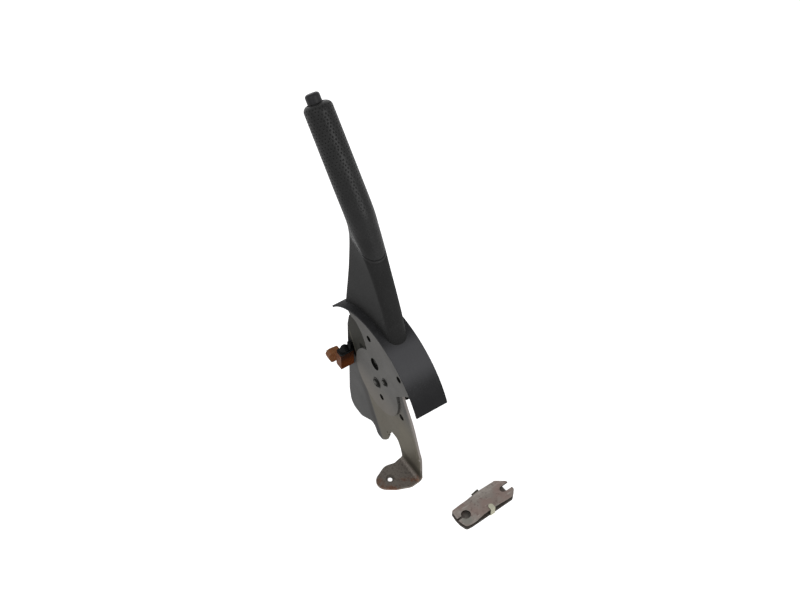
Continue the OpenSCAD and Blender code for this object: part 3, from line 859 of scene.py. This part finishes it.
def eased(node: str, body: Body, slot: Slot, width: float = 0.0003, corner: float = 38.0,
          segments: int = 2, shape: Shaper | None = None, finish: str = "") -> bpy.types.Object:
    """Stands a copy of a solid, with its sharp edges eased, in for it.

    Args:
        node: The solid.
        body: The body that carries it.
        slot: Its material slot.
        width: The width of the eased edge.
        corner: The angle in degrees past which an edge is eased.
        segments: Faces across the eased edge.
        shape: Changes the copy before its edges are eased.
        finish: A variant of the slot's finish.

    Returns:
        The piece.
    """
    mesh = bmesh.new()
    mesh.from_mesh(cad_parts[node].data)
    bmesh.ops.remove_doubles(mesh, verts=mesh.verts, dist=MERGE)
    bmesh.ops.dissolve_limit(mesh, angle_limit=FLAT, verts=mesh.verts, edges=mesh.edges,
                             use_dissolve_boundaries=False)
    if shape:
        shape(mesh)
    edges = [e for e in mesh.edges if e.is_manifold and e.calc_face_angle(0) > math.radians(corner)]
    bmesh.ops.bevel(mesh, geom=edges, offset=width, offset_type="OFFSET", affect="EDGES",
                    segments=segments, profile=0.5, clamp_overlap=True, material=-1)
    return settle(node + "_eased", mesh, body, slot, node, sharp=PLATE_SHARP, finish=finish)


def show(node: str, slot: Slot) -> None:
    """Keeps a solid as it is, with its finish."""
    FINISHES.dress(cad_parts[node], slot.value)
    LOG.info("%s: kept solid", node)


@dataclass
class BaseFrame:
    """The toothed base plate with its foot, and the bush of the pivot.

    The leg's rear edge is given as heights above the pivot with the solid's edge and how far the
    edge bows in from it, all in millimetres.
    """

    edge: float = 0.0004
    rear: tuple[tuple[float, float, float], ...] = (
        (-96.5, -91.0, 0.0), (-95.1, -93.0, 2.4), (-92.7, -94.0, 3.6), (-77.5, -94.5, 4.2),
        (-64.7, -94.8, 5.2), (-58.1, -94.3, 6.0), (-51.8, -92.3, 6.7), (-41.4, -87.7, 6.0),
        (-18.4, -77.6, 4.1), (-5.8, -72.1, 4.4), (5.5, -67.2, 6.0), (16.6, -62.3, 7.4),
        (26.0, -58.2, 7.2), (31.0, -57.0, 6.0), (34.5, -57.3, 4.6))
    rear_reach: float = 0.9
    rear_slack: float = 0.1
    long_edge: float = 20.0
    cuts: int = 11
    hole: float = 6.0
    hole_under: float = 1.0
    hole_taper: float = 0.66

    def bow_in(self, vert: bmesh.types.BMVert) -> float | None:
        """How far a vertex of the leg's rear edge bows in, in millimetres.

        Args:
            vert: A vertex of the plate.

        Returns:
            The distance, or None away from that edge.
        """
        place = (vert.co - PIVOT) / MM
        heights, edges, bows = zip(*self.rear)
        if not heights[0] <= place.z <= heights[-1] + self.rear_slack:
            return None
        off = place.x - float(np.interp(place.z, heights, edges))
        return float(np.interp(place.z, heights, bows)) if abs(off) < self.rear_reach else None

    def trim(self, mesh: bmesh.types.BMesh) -> None:
        """Bows the leg's rear edge in and tapers the bolt hole.

        Args:
            mesh: The plate's copy.
        """
        long = [e for e in mesh.edges if e.calc_length() > self.long_edge * MM
                and all(self.bow_in(v) is not None for v in e.verts)]
        bmesh.ops.subdivide_edges(mesh, edges=long, cuts=self.cuts, use_grid_fill=True)
        for vert in mesh.verts:
            bow = self.bow_in(vert)
            if bow is not None:
                vert.co.x += bow * MM
            in_hole = math.hypot(vert.co.x, vert.co.y) < self.hole * MM
            if in_hole and abs(vert.co.z) < self.hole_under * MM:
                vert.co.xy *= self.hole_taper

    def build(self) -> None:
        """Eases the plate's edges and finishes the bush."""
        eased("base_plate", Body.BASE, Slot.BASE_STEEL, self.edge, shape=self.trim)
        show("pivot_bush", Slot.ZINC)


@dataclass
class LampSwitch:
    """The warning lamp's switch on the base plate, with a soft boot over its contact."""

    edge: float = 0.0005
    terminal_edge: float = 0.0001
    small_edge: float = 0.0002
    boot_at: Place = (130.2, -19.6, 105.0)
    boot_half: Place = (4.9, 6.2, 10.0)

    def build_boot(self) -> None:
        """Models the boot as a rounded lump on the guide."""
        mesh, middle = bmesh.new(), Vector(self.boot_at) * MM
        bmesh.ops.create_uvsphere(mesh, u_segments=40, v_segments=24, radius=MM)
        bmesh.ops.scale(mesh, vec=self.boot_half, verts=mesh.verts)
        bmesh.ops.translate(mesh, vec=middle, verts=mesh.verts)
        cut = bmesh.ops.bisect_plane(mesh, geom=[*mesh.verts, *mesh.edges, *mesh.faces],
                                     plane_co=middle, plane_no=(0, 0, 1), clear_inner=True)
        rim = [e for e in cut["geom_cut"] if isinstance(e, bmesh.types.BMEdge)]
        bmesh.ops.holes_fill(mesh, edges=rim)
        bmesh.ops.recalc_face_normals(mesh, faces=mesh.faces)
        settle("switch_boot", mesh, Body.BASE, Slot.BUTTON, finish=SWITCH_BLACK)

    def build(self) -> None:
        """Eases the mouldings, adds the boot and finishes the small metal."""
        self.build_boot()
        eased("switch_body", Body.BASE, Slot.BROWN, self.edge)
        eased("switch_guide", Body.BASE, Slot.BUTTON, self.edge, finish=SWITCH_BLACK)
        eased("switch_terminal", Body.BASE, Slot.ZINC, self.terminal_edge)
        eased("switch_screw", Body.BASE, Slot.RIVET_STEEL, self.small_edge)
        eased("switch_plunger", Body.PLUNGER, Slot.BUTTON, self.small_edge, finish=SWITCH_BLACK)


@dataclass
class LeverFrame:
    """The lever's cheeks, pressed arm, rivets and slot cover."""

    edge: float = 0.0004
    rivet_edge: float = 0.0003
    cover_edge: float = 0.0006
    rivets: tuple[str, ...] = ("pivot_rivet", "stop_rivet", "arm_rivets", "pawl_pin")
    hidden: tuple[str, ...] = ("pivot_washer", "stop_washer", "arm_spacers", "spring_seat")
    hub: float = 45.5
    hub_reach: float = 0.3
    far_hub: float = 36.0
    far_arc: tuple[float, float, float, float] = (158, 176, 250, 300)

    def trim_far(self, mesh: bmesh.types.BMesh) -> None:
        """Draws the lower rear of the far cheek's hub in.

        Args:
            mesh: The cheek's copy.
        """
        for vert in mesh.verts:
            place = (vert.co - PIVOT) / MM
            if abs(math.hypot(place.x, place.z) - self.hub) > self.hub_reach:
                continue
            angle = math.degrees(math.atan2(place.z, place.x)) % 360
            share = float(np.interp(angle, self.far_arc, (0, 1, 1, 0)))
            scale = 1 - share * (1 - self.far_hub / self.hub)
            vert.co.x, vert.co.z = PIVOT.x + place.x * scale * MM, PIVOT.z + place.z * scale * MM

    def build(self) -> None:
        """Eases the plates and rivets and finishes what lies between them."""
        eased("near_cheek", Body.LEVER, Slot.CHEEK_STEEL, self.edge)
        eased("far_cheek", Body.LEVER, Slot.CHEEK_STEEL, self.edge, shape=self.trim_far)
        eased("lever_arm", Body.LEVER, Slot.BASE_STEEL, self.edge, finish=SHADED_ARM_STEEL)
        for rivet in self.rivets:
            eased(rivet, Body.LEVER, Slot.RIVET_STEEL, self.rivet_edge)
        for piece in self.hidden:
            show(piece, Slot.BASE_STEEL)
        show("rod_spring", Slot.ZINC)
        eased("slot_cover", Body.LEVER, Slot.COVER, self.cover_edge, segments=3)
        eased("pawl", Body.PAWL, Slot.RIVET_STEEL, self.rivet_edge)
        show("release_rod", Slot.RIVET_STEEL)


Station = tuple[float, ...]


@dataclass
class Handle:
    """The moulded handle: pebbled grip, smooth shroud below it, end bush and button.

    A station is (rear x, rear z, front x, front z, rear half width, front half width, rear depth,
    front depth) in millimetres from the pivot, as the solids have it. The waist is the place in the
    list of stations that lies between cover and joint, and the neck is one above the joint.
    """

    bend: Point = (46.0, 240.0)
    angle: float = math.radians(50.5)
    length: float = 135.5
    radius: float = 16.8
    round_from: float = 6.0
    swell: float = 0.1
    swell_at: float = 45.0
    end_radius: float = 16.7
    end_round: float = 7.0
    bush_radius: float = 9.6
    bush_drop: float = 3.0
    wall: float = 3.0
    joint: Point = (12.5, 203.8)
    tilt: float = math.radians(18.3)
    joint_gap: float = 0.4
    cover_radius: float = 106.5
    cover_gap: float = 0.02
    shroud_wall: float = 1.4
    bush_seat: float = 8.0
    bush_floor: float = 10.0
    waist: float = 4.0
    neck: float = 9.0
    around: int = 200
    rows: int = 300
    dome_rows: int = 18
    inner_rows: int = 24
    shroud_rows: int = 60
    samples: int = 160
    sharp: float = 60.0
    bush_edge: float = 0.0004
    button_edge: float = 0.0003
    pit_columns: int = 25
    pit_pitch: float = 3.8
    pit_stray: float = 0.34
    pit_radius: float = 1.5
    pit_depth: float = 0.50
    plain_low: Span = (3.0, 4.5)
    plain_end: Span = (1.5, 3.5)
    worn_low: float = 0.4
    worn_to: float = 80.0
    groove: float = 2.5
    groove_half: float = 0.55
    groove_depth: float = 0.40
    lip: float = 1.2
    lip_half: float = 0.7
    lip_rise: float = 0.06
    lower: tuple[Station, ...] = (
        (-37.5, 88, 75, 66, 11.5, 10.5, 9, 3.5), (-34, 99, 72.5, 84, 11.5, 10.5, 9, 3.5),
        (-29.5, 114, 69.5, 101, 11.8, 11, 9, 3.5), (-23, 133, 66, 126, 12, 11, 9, 3.5),
        (-12, 160, 62, 156, 12.2, 11.2, 9.5, 3.6), (1, 188, 59.5, 188, 13, 11.8, 11, 5),
        (13.2, 212, 58.5, 209, 14.6, 13.6, 13, 9), (25, 234, 59, 222, 16.2, 16, 15.5, 15))
    stations: list[Station] = field(default_factory=list)

    def __post_init__(self) -> None:
        """Works out the stations up the whole handle."""
        top = self.length - self.end_round
        self.stations = [*self.lower, self.round_station(self.round_from, self.radius),
                         self.round_station(self.swell_at, self.radius + self.swell),
                         self.round_station(top, self.end_radius)]

    def on_grip(self, along: float, across: float = 0.0) -> Point:
        """A point on the grip's axis, or that far behind it."""
        c, s = math.cos(self.angle), math.sin(self.angle)
        return self.bend[0] + c * along - s * across, self.bend[1] + s * along + c * across

    def round_station(self, along: float, radius: float, drop: float = 0.0) -> Station:
        """A round station on the grip's axis, or that far below it."""
        rear, front = self.on_grip(along, radius - drop), self.on_grip(along, -radius - drop)
        return (*rear, *front, radius, radius, radius, radius)

    def station(self, t: float) -> Station:
        """The station at a fractional place in the list, smoothly between its neighbours.

        Args:
            t: Place in the list of stations.

        Returns:
            The blended station.
        """
        last = len(self.stations) - 1
        i = max(0, min(last - 1, int(t)))
        u = t - i
        a, b, c, d = (self.stations[max(0, min(last, k))] for k in (i - 1, i, i + 1, i + 2))
        return tuple(0.5 * (2 * q + (r - p) * u + (2 * p - 5 * q + 4 * r - s) * u * u
                            + (3 * q - p - 3 * r + s) * u ** 3) for p, q, r, s in zip(a, b, c, d))

    def point(self, station: Station, share: float, inset: float) -> Vector:
        """A point of a station's outline.

        Args:
            station: The station.
            share: How far round the outline, from the middle of its rear, 0 to 1.
            inset: How far inside the skin, in millimetres.

        Returns:
            The point in millimetres from the pivot.
        """
        rear, front = Vector(station[0:2]), Vector(station[2:4])
        way = (front - rear).normalized()
        w1, w2, d1, d2 = (size - inset for size in station[4:8])
        c1, c2 = rear + way * station[6], front - way * station[7]
        run = max((c2 - c1).dot(way), 0.0)
        bow1, bow2 = (math.pi / 2 * math.sqrt((w * w + d * d) / 2) for w, d in ((w1, d1), (w2, d2)))
        mirrored = share > 0.5
        left = 2 * (1 - share if mirrored else share) * (bow1 + run + bow2)
        if left <= bow1:
            turn = math.pi / 2 * left / bow1
            flat, side = c1 - way * d1 * math.cos(turn), w1 * math.sin(turn)
        elif left <= bow1 + run:
            part = (left - bow1) / max(run, 1e-6)
            flat, side = c1.lerp(c2, part), w1 + (w2 - w1) * part
        else:
            turn = math.pi / 2 * (left - bow1 - run) / bow2
            flat, side = c2 + way * d2 * math.sin(turn), w2 * math.cos(turn)
        return Vector((flat.x, -side if mirrored else side, flat.y))

    def crossing(self, share: float, inset: float, test: Callable[[Vector], float],
                 low: float, high: float) -> float:
        """Where a line up the skin crosses a surface.

        Args:
            share: Which line, by its share of the outline.
            inset: How far inside the skin.
            test: Negative below the surface and positive above it.
            low: A place below the surface.
            high: A place above it.

        Returns:
            The place in the list of stations.
        """
        for _ in range(HALVINGS):
            mid = (low + high) / 2
            if test(self.point(self.station(mid), share, inset)) < 0:
                low = mid
            else:
                high = mid
        return (low + high) / 2

    def above_joint(self, p: Vector) -> float:
        """Height above the slanted joint of grip and shroud."""
        return (p.z - self.joint[1]) * math.cos(self.tilt) - (p.x - self.joint[0]) * math.sin(self.tilt)

    def over_joint(self, p: Vector) -> float:
        """Height above the grip's side of the joint."""
        return self.above_joint(p) - self.joint_gap / 2

    def under_joint(self, p: Vector) -> float:
        """Height above the shroud's side of the joint."""
        return self.above_joint(p) + self.joint_gap / 2

    def over_cover(self, p: Vector) -> float:
        """Height above the slot cover's outside."""
        return math.hypot(p.x, p.z) - self.cover_radius - self.cover_gap

    def loft(self, rings: Sequence[Sequence[Vector]]) -> bmesh.types.BMesh:
        """A tube through rings of points, by extruding a circle along them.

        Args:
            rings: Points in millimetres from the pivot, the same count in each ring.

        Returns:
            The open tube, in the row frame.
        """
        mesh = bmesh.new()
        made = bmesh.ops.create_circle(mesh, segments=len(rings[0]), radius=1.0)
        loop = list(made["verts"])
        edges = list({e for v in loop for e in v.link_edges})
        self.place(loop, rings[0])
        for ring in rings[1:]:
            grown = bmesh.ops.extrude_edge_only(mesh, edges=edges)["geom"]
            fresh = {v for v in grown if isinstance(v, bmesh.types.BMVert)}
            loop = [next(e.other_vert(v) for e in v.link_edges if e.other_vert(v) in fresh) for v in loop]
            edges = [e for e in grown
                     if isinstance(e, bmesh.types.BMEdge) and all(v in fresh for v in e.verts)]
            self.place(loop, ring)
        return mesh

    def place(self, verts: Sequence[bmesh.types.BMVert], points: Sequence[Vector]) -> None:
        """Moves vertices to points given in millimetres from the pivot."""
        for vert, point in zip(verts, points):
            vert.co = PIVOT + point * MM

    def shares(self, count: int) -> list[float]:
        """Even shares of an outline."""
        return [(j + 0.5) / count for j in range(count)]

    def closed(self, mesh: bmesh.types.BMesh) -> bmesh.types.BMesh:
        """Joins the two open ends of a double wall and turns its faces outwards.

        Args:
            mesh: The double wall.

        Returns:
            The same mesh, closed.
        """
        ends = [e for e in mesh.edges if e.is_boundary]
        bmesh.ops.bridge_loops(mesh, edges=ends)
        bmesh.ops.recalc_face_normals(mesh, faces=mesh.faces)
        return mesh

    def evened(self, low: float, high: float, count: int) -> list[float]:
        """Places in the list of stations at even steps up the handle.

        Args:
            low: The first place.
            high: The last place.
            count: How many steps.

        Returns:
            The places, one more than the steps.
        """
        places = np.linspace(low, high, self.samples)
        middles = np.array([[(s[0] + s[2]) / 2, (s[1] + s[3]) / 2] for s in map(self.station, places)])
        run = np.concatenate(([0.0], np.cumsum(np.hypot(*np.diff(middles, axis=0).T))))
        return [float(t) for t in np.interp(np.linspace(0, run[-1], count + 1), run, places)]

    def end_rings(self, shares: Sequence[float]) -> list[list[Vector]]:
        """Rings over the grip's rounded end and down into its bore.

        Args:
            shares: The places round the outline.

        Returns:
            The rings' points in millimetres from the pivot.
        """
        stations = []
        for k in range(1, self.dome_rows + 1):
            turn = math.pi / 2 * k / self.dome_rows
            shrink = 1 - math.cos(turn)
            radius = self.end_radius - (self.end_radius - self.bush_radius) * shrink
            along = self.length - self.end_round * (1 - math.sin(turn))
            stations.append(self.round_station(along, radius, self.bush_drop * shrink))
        seat, floor = self.length - self.bush_seat, self.length - self.bush_floor
        stations.append(self.round_station(seat, self.bush_radius, self.bush_drop))
        stations.append(self.round_station(floor, self.end_radius - self.wall))
        return [[self.point(station, s, 0) for s in shares] for station in stations]

    def build_grip(self) -> None:
        """Models the pitted grip as a double wall from the joint to the rounded end."""
        shares, last = self.shares(self.around), len(self.stations) - 1
        over = [self.crossing(s, 0, self.over_joint, self.waist, last) for s in shares]
        inside = [self.crossing(s, self.wall, self.over_joint, self.waist, last) for s in shares]
        lines = [self.evened(low, last, self.rows) for low in over]
        rings = [[self.point(self.station(line[i]), s, 0) for s, line in zip(shares, lines)]
                 for i in range(self.rows + 1)]
        rings += self.end_rings(shares)
        for i in range(1, self.inner_rows + 1):
            down = i / self.inner_rows
            rings.append([self.point(self.station(last + (low - last) * down), s, self.wall)
                          for s, low in zip(shares, inside)])
        mesh = self.closed(self.loft(rings))
        self.pit(mesh, (self.rows + self.dome_rows) * self.around)
        settle("pebbled_grip", mesh, Body.LEVER, Slot.GRIP, "grip", sharp=self.sharp)

    def from_pit(self, share: float, along: float) -> float:
        """Distance to the nearest pit's middle, in millimetres.

        Args:
            share: How far round the outline.
            along: How far up the grip.

        Returns:
            The distance.
        """
        wide = 2 * math.pi * self.radius / self.pit_columns
        row = math.floor(along / self.pit_pitch)
        nearest = math.inf
        for j in (row - 1, row, row + 1):
            shift = 0.5 * (j % 2)
            column = math.floor(share * self.pit_columns - shift)
            for i in (column - 1, column, column + 1, column + 2):
                stray = noise.cell_vector(Vector((i % self.pit_columns + 0.5, j + 0.5, 0.5)))
                x = (i + shift + self.pit_stray * stray.x - share * self.pit_columns) * wide
                y = (j + 0.5 + self.pit_stray * stray.y) * self.pit_pitch - along
                nearest = min(nearest, math.hypot(x, y))
        return nearest

    def pit_share(self, low: float, along: float) -> float:
        """How deep the pits are: none beside the joint and the end, and shallow low on the grip."""
        worn = self.worn_low + (1 - self.worn_low) * ramp(along, 0.0, self.worn_to)
        return worn * ramp(low, *self.plain_low) * ramp(self.length - along, *self.plain_end)

    def pit(self, mesh: bmesh.types.BMesh, count: int) -> None:
        """Sinks pits in the first vertices of the grip, which are its outer skin.

        Args:
            mesh: The grip.
            count: How many vertices the outer skin has.
        """
        layer = mesh.verts.layers.float.new("ridge")
        mesh.normal_update()
        mesh.verts.ensure_lookup_table()
        shares, moves = self.shares(self.around), []
        axis = Vector((math.cos(self.angle), math.sin(self.angle)))
        for index, vert in enumerate(mesh.verts[:count]):
            p = (vert.co - PIVOT) / MM
            low = self.above_joint(p)
            along = (Vector((p.x, p.z)) - Vector(self.bend)).dot(axis)
            off = min(1.0, self.from_pit(shares[index % self.around], along) / self.pit_radius)
            sunk = (1 - off * off * (3 - 2 * off)) * self.pit_share(low, along)
            groove = math.exp(-((low - self.groove) / self.groove_half) ** 2)
            lip = math.exp(-((low - self.lip) / self.lip_half) ** 2)
            height = self.lip_rise * lip - self.pit_depth * sunk - self.groove_depth * groove
            moves.append((vert, vert.normal * height, max(0.0, 1 - sunk - groove)))
        for vert, move, ridge in moves:
            vert.co += move * MM
            vert[layer] = ridge

    def shroud_rings(self, inset: float) -> list[list[Vector]]:
        """Rings of one of the shroud's walls, from the cover up to the joint.

        Args:
            inset: How far inside the skin the wall lies.

        Returns:
            The rings' points in millimetres from the pivot.
        """
        shares, rows = self.shares(self.around), self.shroud_rows
        low = [self.crossing(s, inset, self.over_cover, 0.0, self.waist) for s in shares]
        high = [self.crossing(s, inset, self.under_joint, self.waist, self.neck) for s in shares]
        return [[self.point(self.station(a + (b - a) * i / rows), s, inset)
                 for s, a, b in zip(shares, low, high)] for i in range(rows + 1)]

    def build_shroud(self) -> None:
        """Models the smooth shroud as a double wall from the slot cover up to the joint."""
        mesh = self.loft([*self.shroud_rings(0.0), *reversed(self.shroud_rings(self.shroud_wall))])
        settle("smooth_shroud", self.closed(mesh), Body.LEVER, Slot.SHROUD, "shroud", sharp=self.sharp)

    def build(self) -> None:
        """Builds the handle's mouldings."""
        self.build_grip()
        self.build_shroud()
        eased("end_bush", Body.LEVER, Slot.BUTTON, self.bush_edge)
        eased("button", Body.BUTTON, Slot.BUTTON, self.button_edge)


@dataclass
class CableLink:
    """The loose link that joins the brake cables, lying beside the lever.

    Places on it are given in millimetres along the link from its keyhole end and across it.
    """

    edge: float = 0.0005
    clip_edge: float = 0.0003
    start: Point = (-88.1, -40.7)
    heading: float = math.radians(-86)
    fork_from: float = 74.5
    fork_half: float = 4.5
    fork_middle: float = 0.5
    fork_wide: float = 5.0
    tine_from: float = 73.0
    tine_end: float = 76.0
    tine_side: float = 10.5
    tine_reach: float = 12.0
    far: float = -68.0
    far_end: tuple[Point, Point] = ((33.5, 17.2), (44.5, 18.6))
    clip_middle: float = -81.3
    merge: float = 0.00005

    def on_link(self, vert: bmesh.types.BMVert) -> Point:
        """A vertex's place along and across the link.

        Args:
            vert: A vertex in the row frame.

        Returns:
            The place in millimetres.
        """
        x, y = vert.co.x / MM - self.start[0], vert.co.y / MM - self.start[1]
        c, s = math.cos(self.heading), math.sin(self.heading)
        return c * x + s * y, c * y - s * x

    def move_to(self, vert: bmesh.types.BMVert, u: float, v: float) -> None:
        """Moves a vertex to a place along and across the link, at its height.

        Args:
            vert: The vertex.
            u: The place along the link.
            v: The place across it.
        """
        c, s = math.cos(self.heading), math.sin(self.heading)
        vert.co.x = (self.start[0] + c * u - s * v) * MM
        vert.co.y = (self.start[1] + s * u + c * v) * MM

    def open_fork(self, mesh: bmesh.types.BMesh) -> None:
        """Widens the lower plate's fork towards the far side and cuts that tine short.

        Args:
            mesh: The plate's copy.
        """
        for vert in mesh.verts:
            u, v = self.on_link(vert)
            if u > self.fork_from and self.fork_middle < v < self.fork_half:
                self.move_to(vert, min(u, self.tine_end), v + self.fork_wide)
            elif u > self.tine_from and self.fork_half <= v < self.tine_reach:
                self.move_to(vert, min(u, self.tine_end), max(v, self.tine_side))
        bmesh.ops.remove_doubles(mesh, verts=mesh.verts, dist=self.merge)

    def shorten(self, mesh: bmesh.types.BMesh) -> None:
        """Spreads the clip's far end and draws it in towards the plates.

        Args:
            mesh: The clip's copy.
        """
        for vert in mesh.verts:
            if vert.co.x > self.far * MM:
                self.move_to(vert, *self.far_end[int(vert.co.y < self.clip_middle * MM)])

    def build(self) -> None:
        """Eases the plates and the clip."""
        eased("link_upper_plate", Body.BASE, Slot.LINK_STEEL, self.edge)
        eased("link_lower_plate", Body.BASE, Slot.LINK_STEEL, self.edge, shape=self.open_fork)
        eased("link_clip", Body.BASE, Slot.ZINC, self.clip_edge, shape=self.shorten)


@dataclass
class Studio:
    """The pale floor, the soft lamps and the camera."""

    eye: Place = (-0.8367, 0.5433, 1.5558)
    right: Place = (-0.5548, -0.8320, 0.0)
    up: Place = (0.6420, -0.4281, 0.6361)
    lens: float = 67.5
    key: float = 12.0
    key_at: Place = (-1.50, -0.50, 1.25)
    key_size: float = 0.75
    fill: float = 8.0
    fill_at: Place = (-0.30, 1.40, 1.70)
    fill_size: float = 1.4
    aim: Place = (0.0, 0.0, 0.1)
    sky: float = 0.30
    floor_glow: float = 0.9
    floor_size: float = 8.0

    def lamp(self, name: str, place: Sequence[float], size: float, power: float) -> None:
        """Adds a square soft lamp that faces a point above the pivot.

        Args:
            name: The lamp's name.
            place: Where it stands.
            size: The side of the square.
            power: Its power in watts.
        """
        data = bpy.data.lights.new(name, "AREA")
        data.shape, data.size, data.energy = "SQUARE", size, power
        lamp = bpy.data.objects.new(name, data)
        lamp.location = place
        way = PIVOT + Vector(self.aim) - Vector(place)
        lamp.rotation_euler = way.to_track_quat("-Z", "Y").to_euler()
        bpy.context.scene.collection.objects.link(lamp)

    def backdrop_ray(self, nodes: Nodes) -> Sock:
        """1 for rays from the camera, mirrors and glass."""
        seen = [nodes.node("ShaderNodeLightPath", out=f"Is {kind} Ray") for kind in
                ("Camera", "Glossy", "Transmission")]
        return seen[0].most(seen[1]).most(seen[2])

    def build_floor(self) -> None:
        """Adds the floor, near white to the camera, which keeps the shadow."""
        mesh = bmesh.new()
        bmesh.ops.create_grid(mesh, x_segments=2, y_segments=2, size=self.floor_size / 2)
        bmesh.ops.translate(mesh, verts=mesh.verts, vec=(0, 0, FLOOR_Z))
        data = bpy.data.meshes.new("floor")
        mesh.to_mesh(data)
        mesh.free()
        floor = bpy.data.objects.new("floor", data)
        bpy.context.scene.collection.objects.link(floor)
        paint = Paint("pale_floor")
        glow = paint.mix(self.backdrop_ray(paint), (0.0, 0.0, 0.0), (1.0, 1.0, 1.0))
        paint.fill(Base_Color=(0.80, 0.80, 0.80), Roughness=1.0, Specular_IOR_Level=0.0,
                   Emission_Color=glow, Emission_Strength=self.floor_glow)
        data.materials.append(paint.material)

    def build_world(self) -> None:
        """Sets an even pale sky that is white where it is seen."""
        world = bpy.data.worlds.new("soft_sky")
        world.use_nodes = True
        bpy.context.scene.world = world
        nodes = Nodes(world.node_tree)
        level = nodes.mix(self.backdrop_ray(nodes), (self.sky,) * 3, (1.0, 1.0, 1.0))
        nodes.feed(world.node_tree.nodes["Background"].inputs["Color"], level)

    def build_camera(self) -> None:
        """Adds the camera at the photograph's angle."""
        data = bpy.data.cameras.new("camera")
        data.lens, data.sensor_width, data.clip_start = self.lens, 36.0, 0.05
        camera = bpy.data.objects.new("camera", data)
        right, up = Vector(self.right).normalized(), Vector(self.up).normalized()
        back = right.cross(up)
        turn = Matrix((right, up, back)).transposed()
        camera.matrix_world = Matrix.Translation(self.eye) @ turn.to_4x4()
        bpy.context.scene.collection.objects.link(camera)
        bpy.context.scene.camera = camera

    def build(self) -> None:
        """Sets the whole stage."""
        self.build_camera()
        self.build_floor()
        self.build_world()
        self.lamp("key_lamp", self.key_at, self.key_size, self.key)
        self.lamp("fill_lamp", self.fill_at, self.fill_size, self.fill)
        bpy.context.scene.view_settings.view_transform = "Standard"


def main() -> None:
    """Builds the stage and the lever's sub-assemblies in order."""
    logging.basicConfig(level=logging.INFO, format="%(name)s %(message)s")
    Studio().build()
    for assembly in (BaseFrame(), LampSwitch(), LeverFrame(), Handle(), CableLink()):
        assembly.build()
        LOG.info("%s built", type(assembly).__name__)


if __name__ == "__main__":
    main()
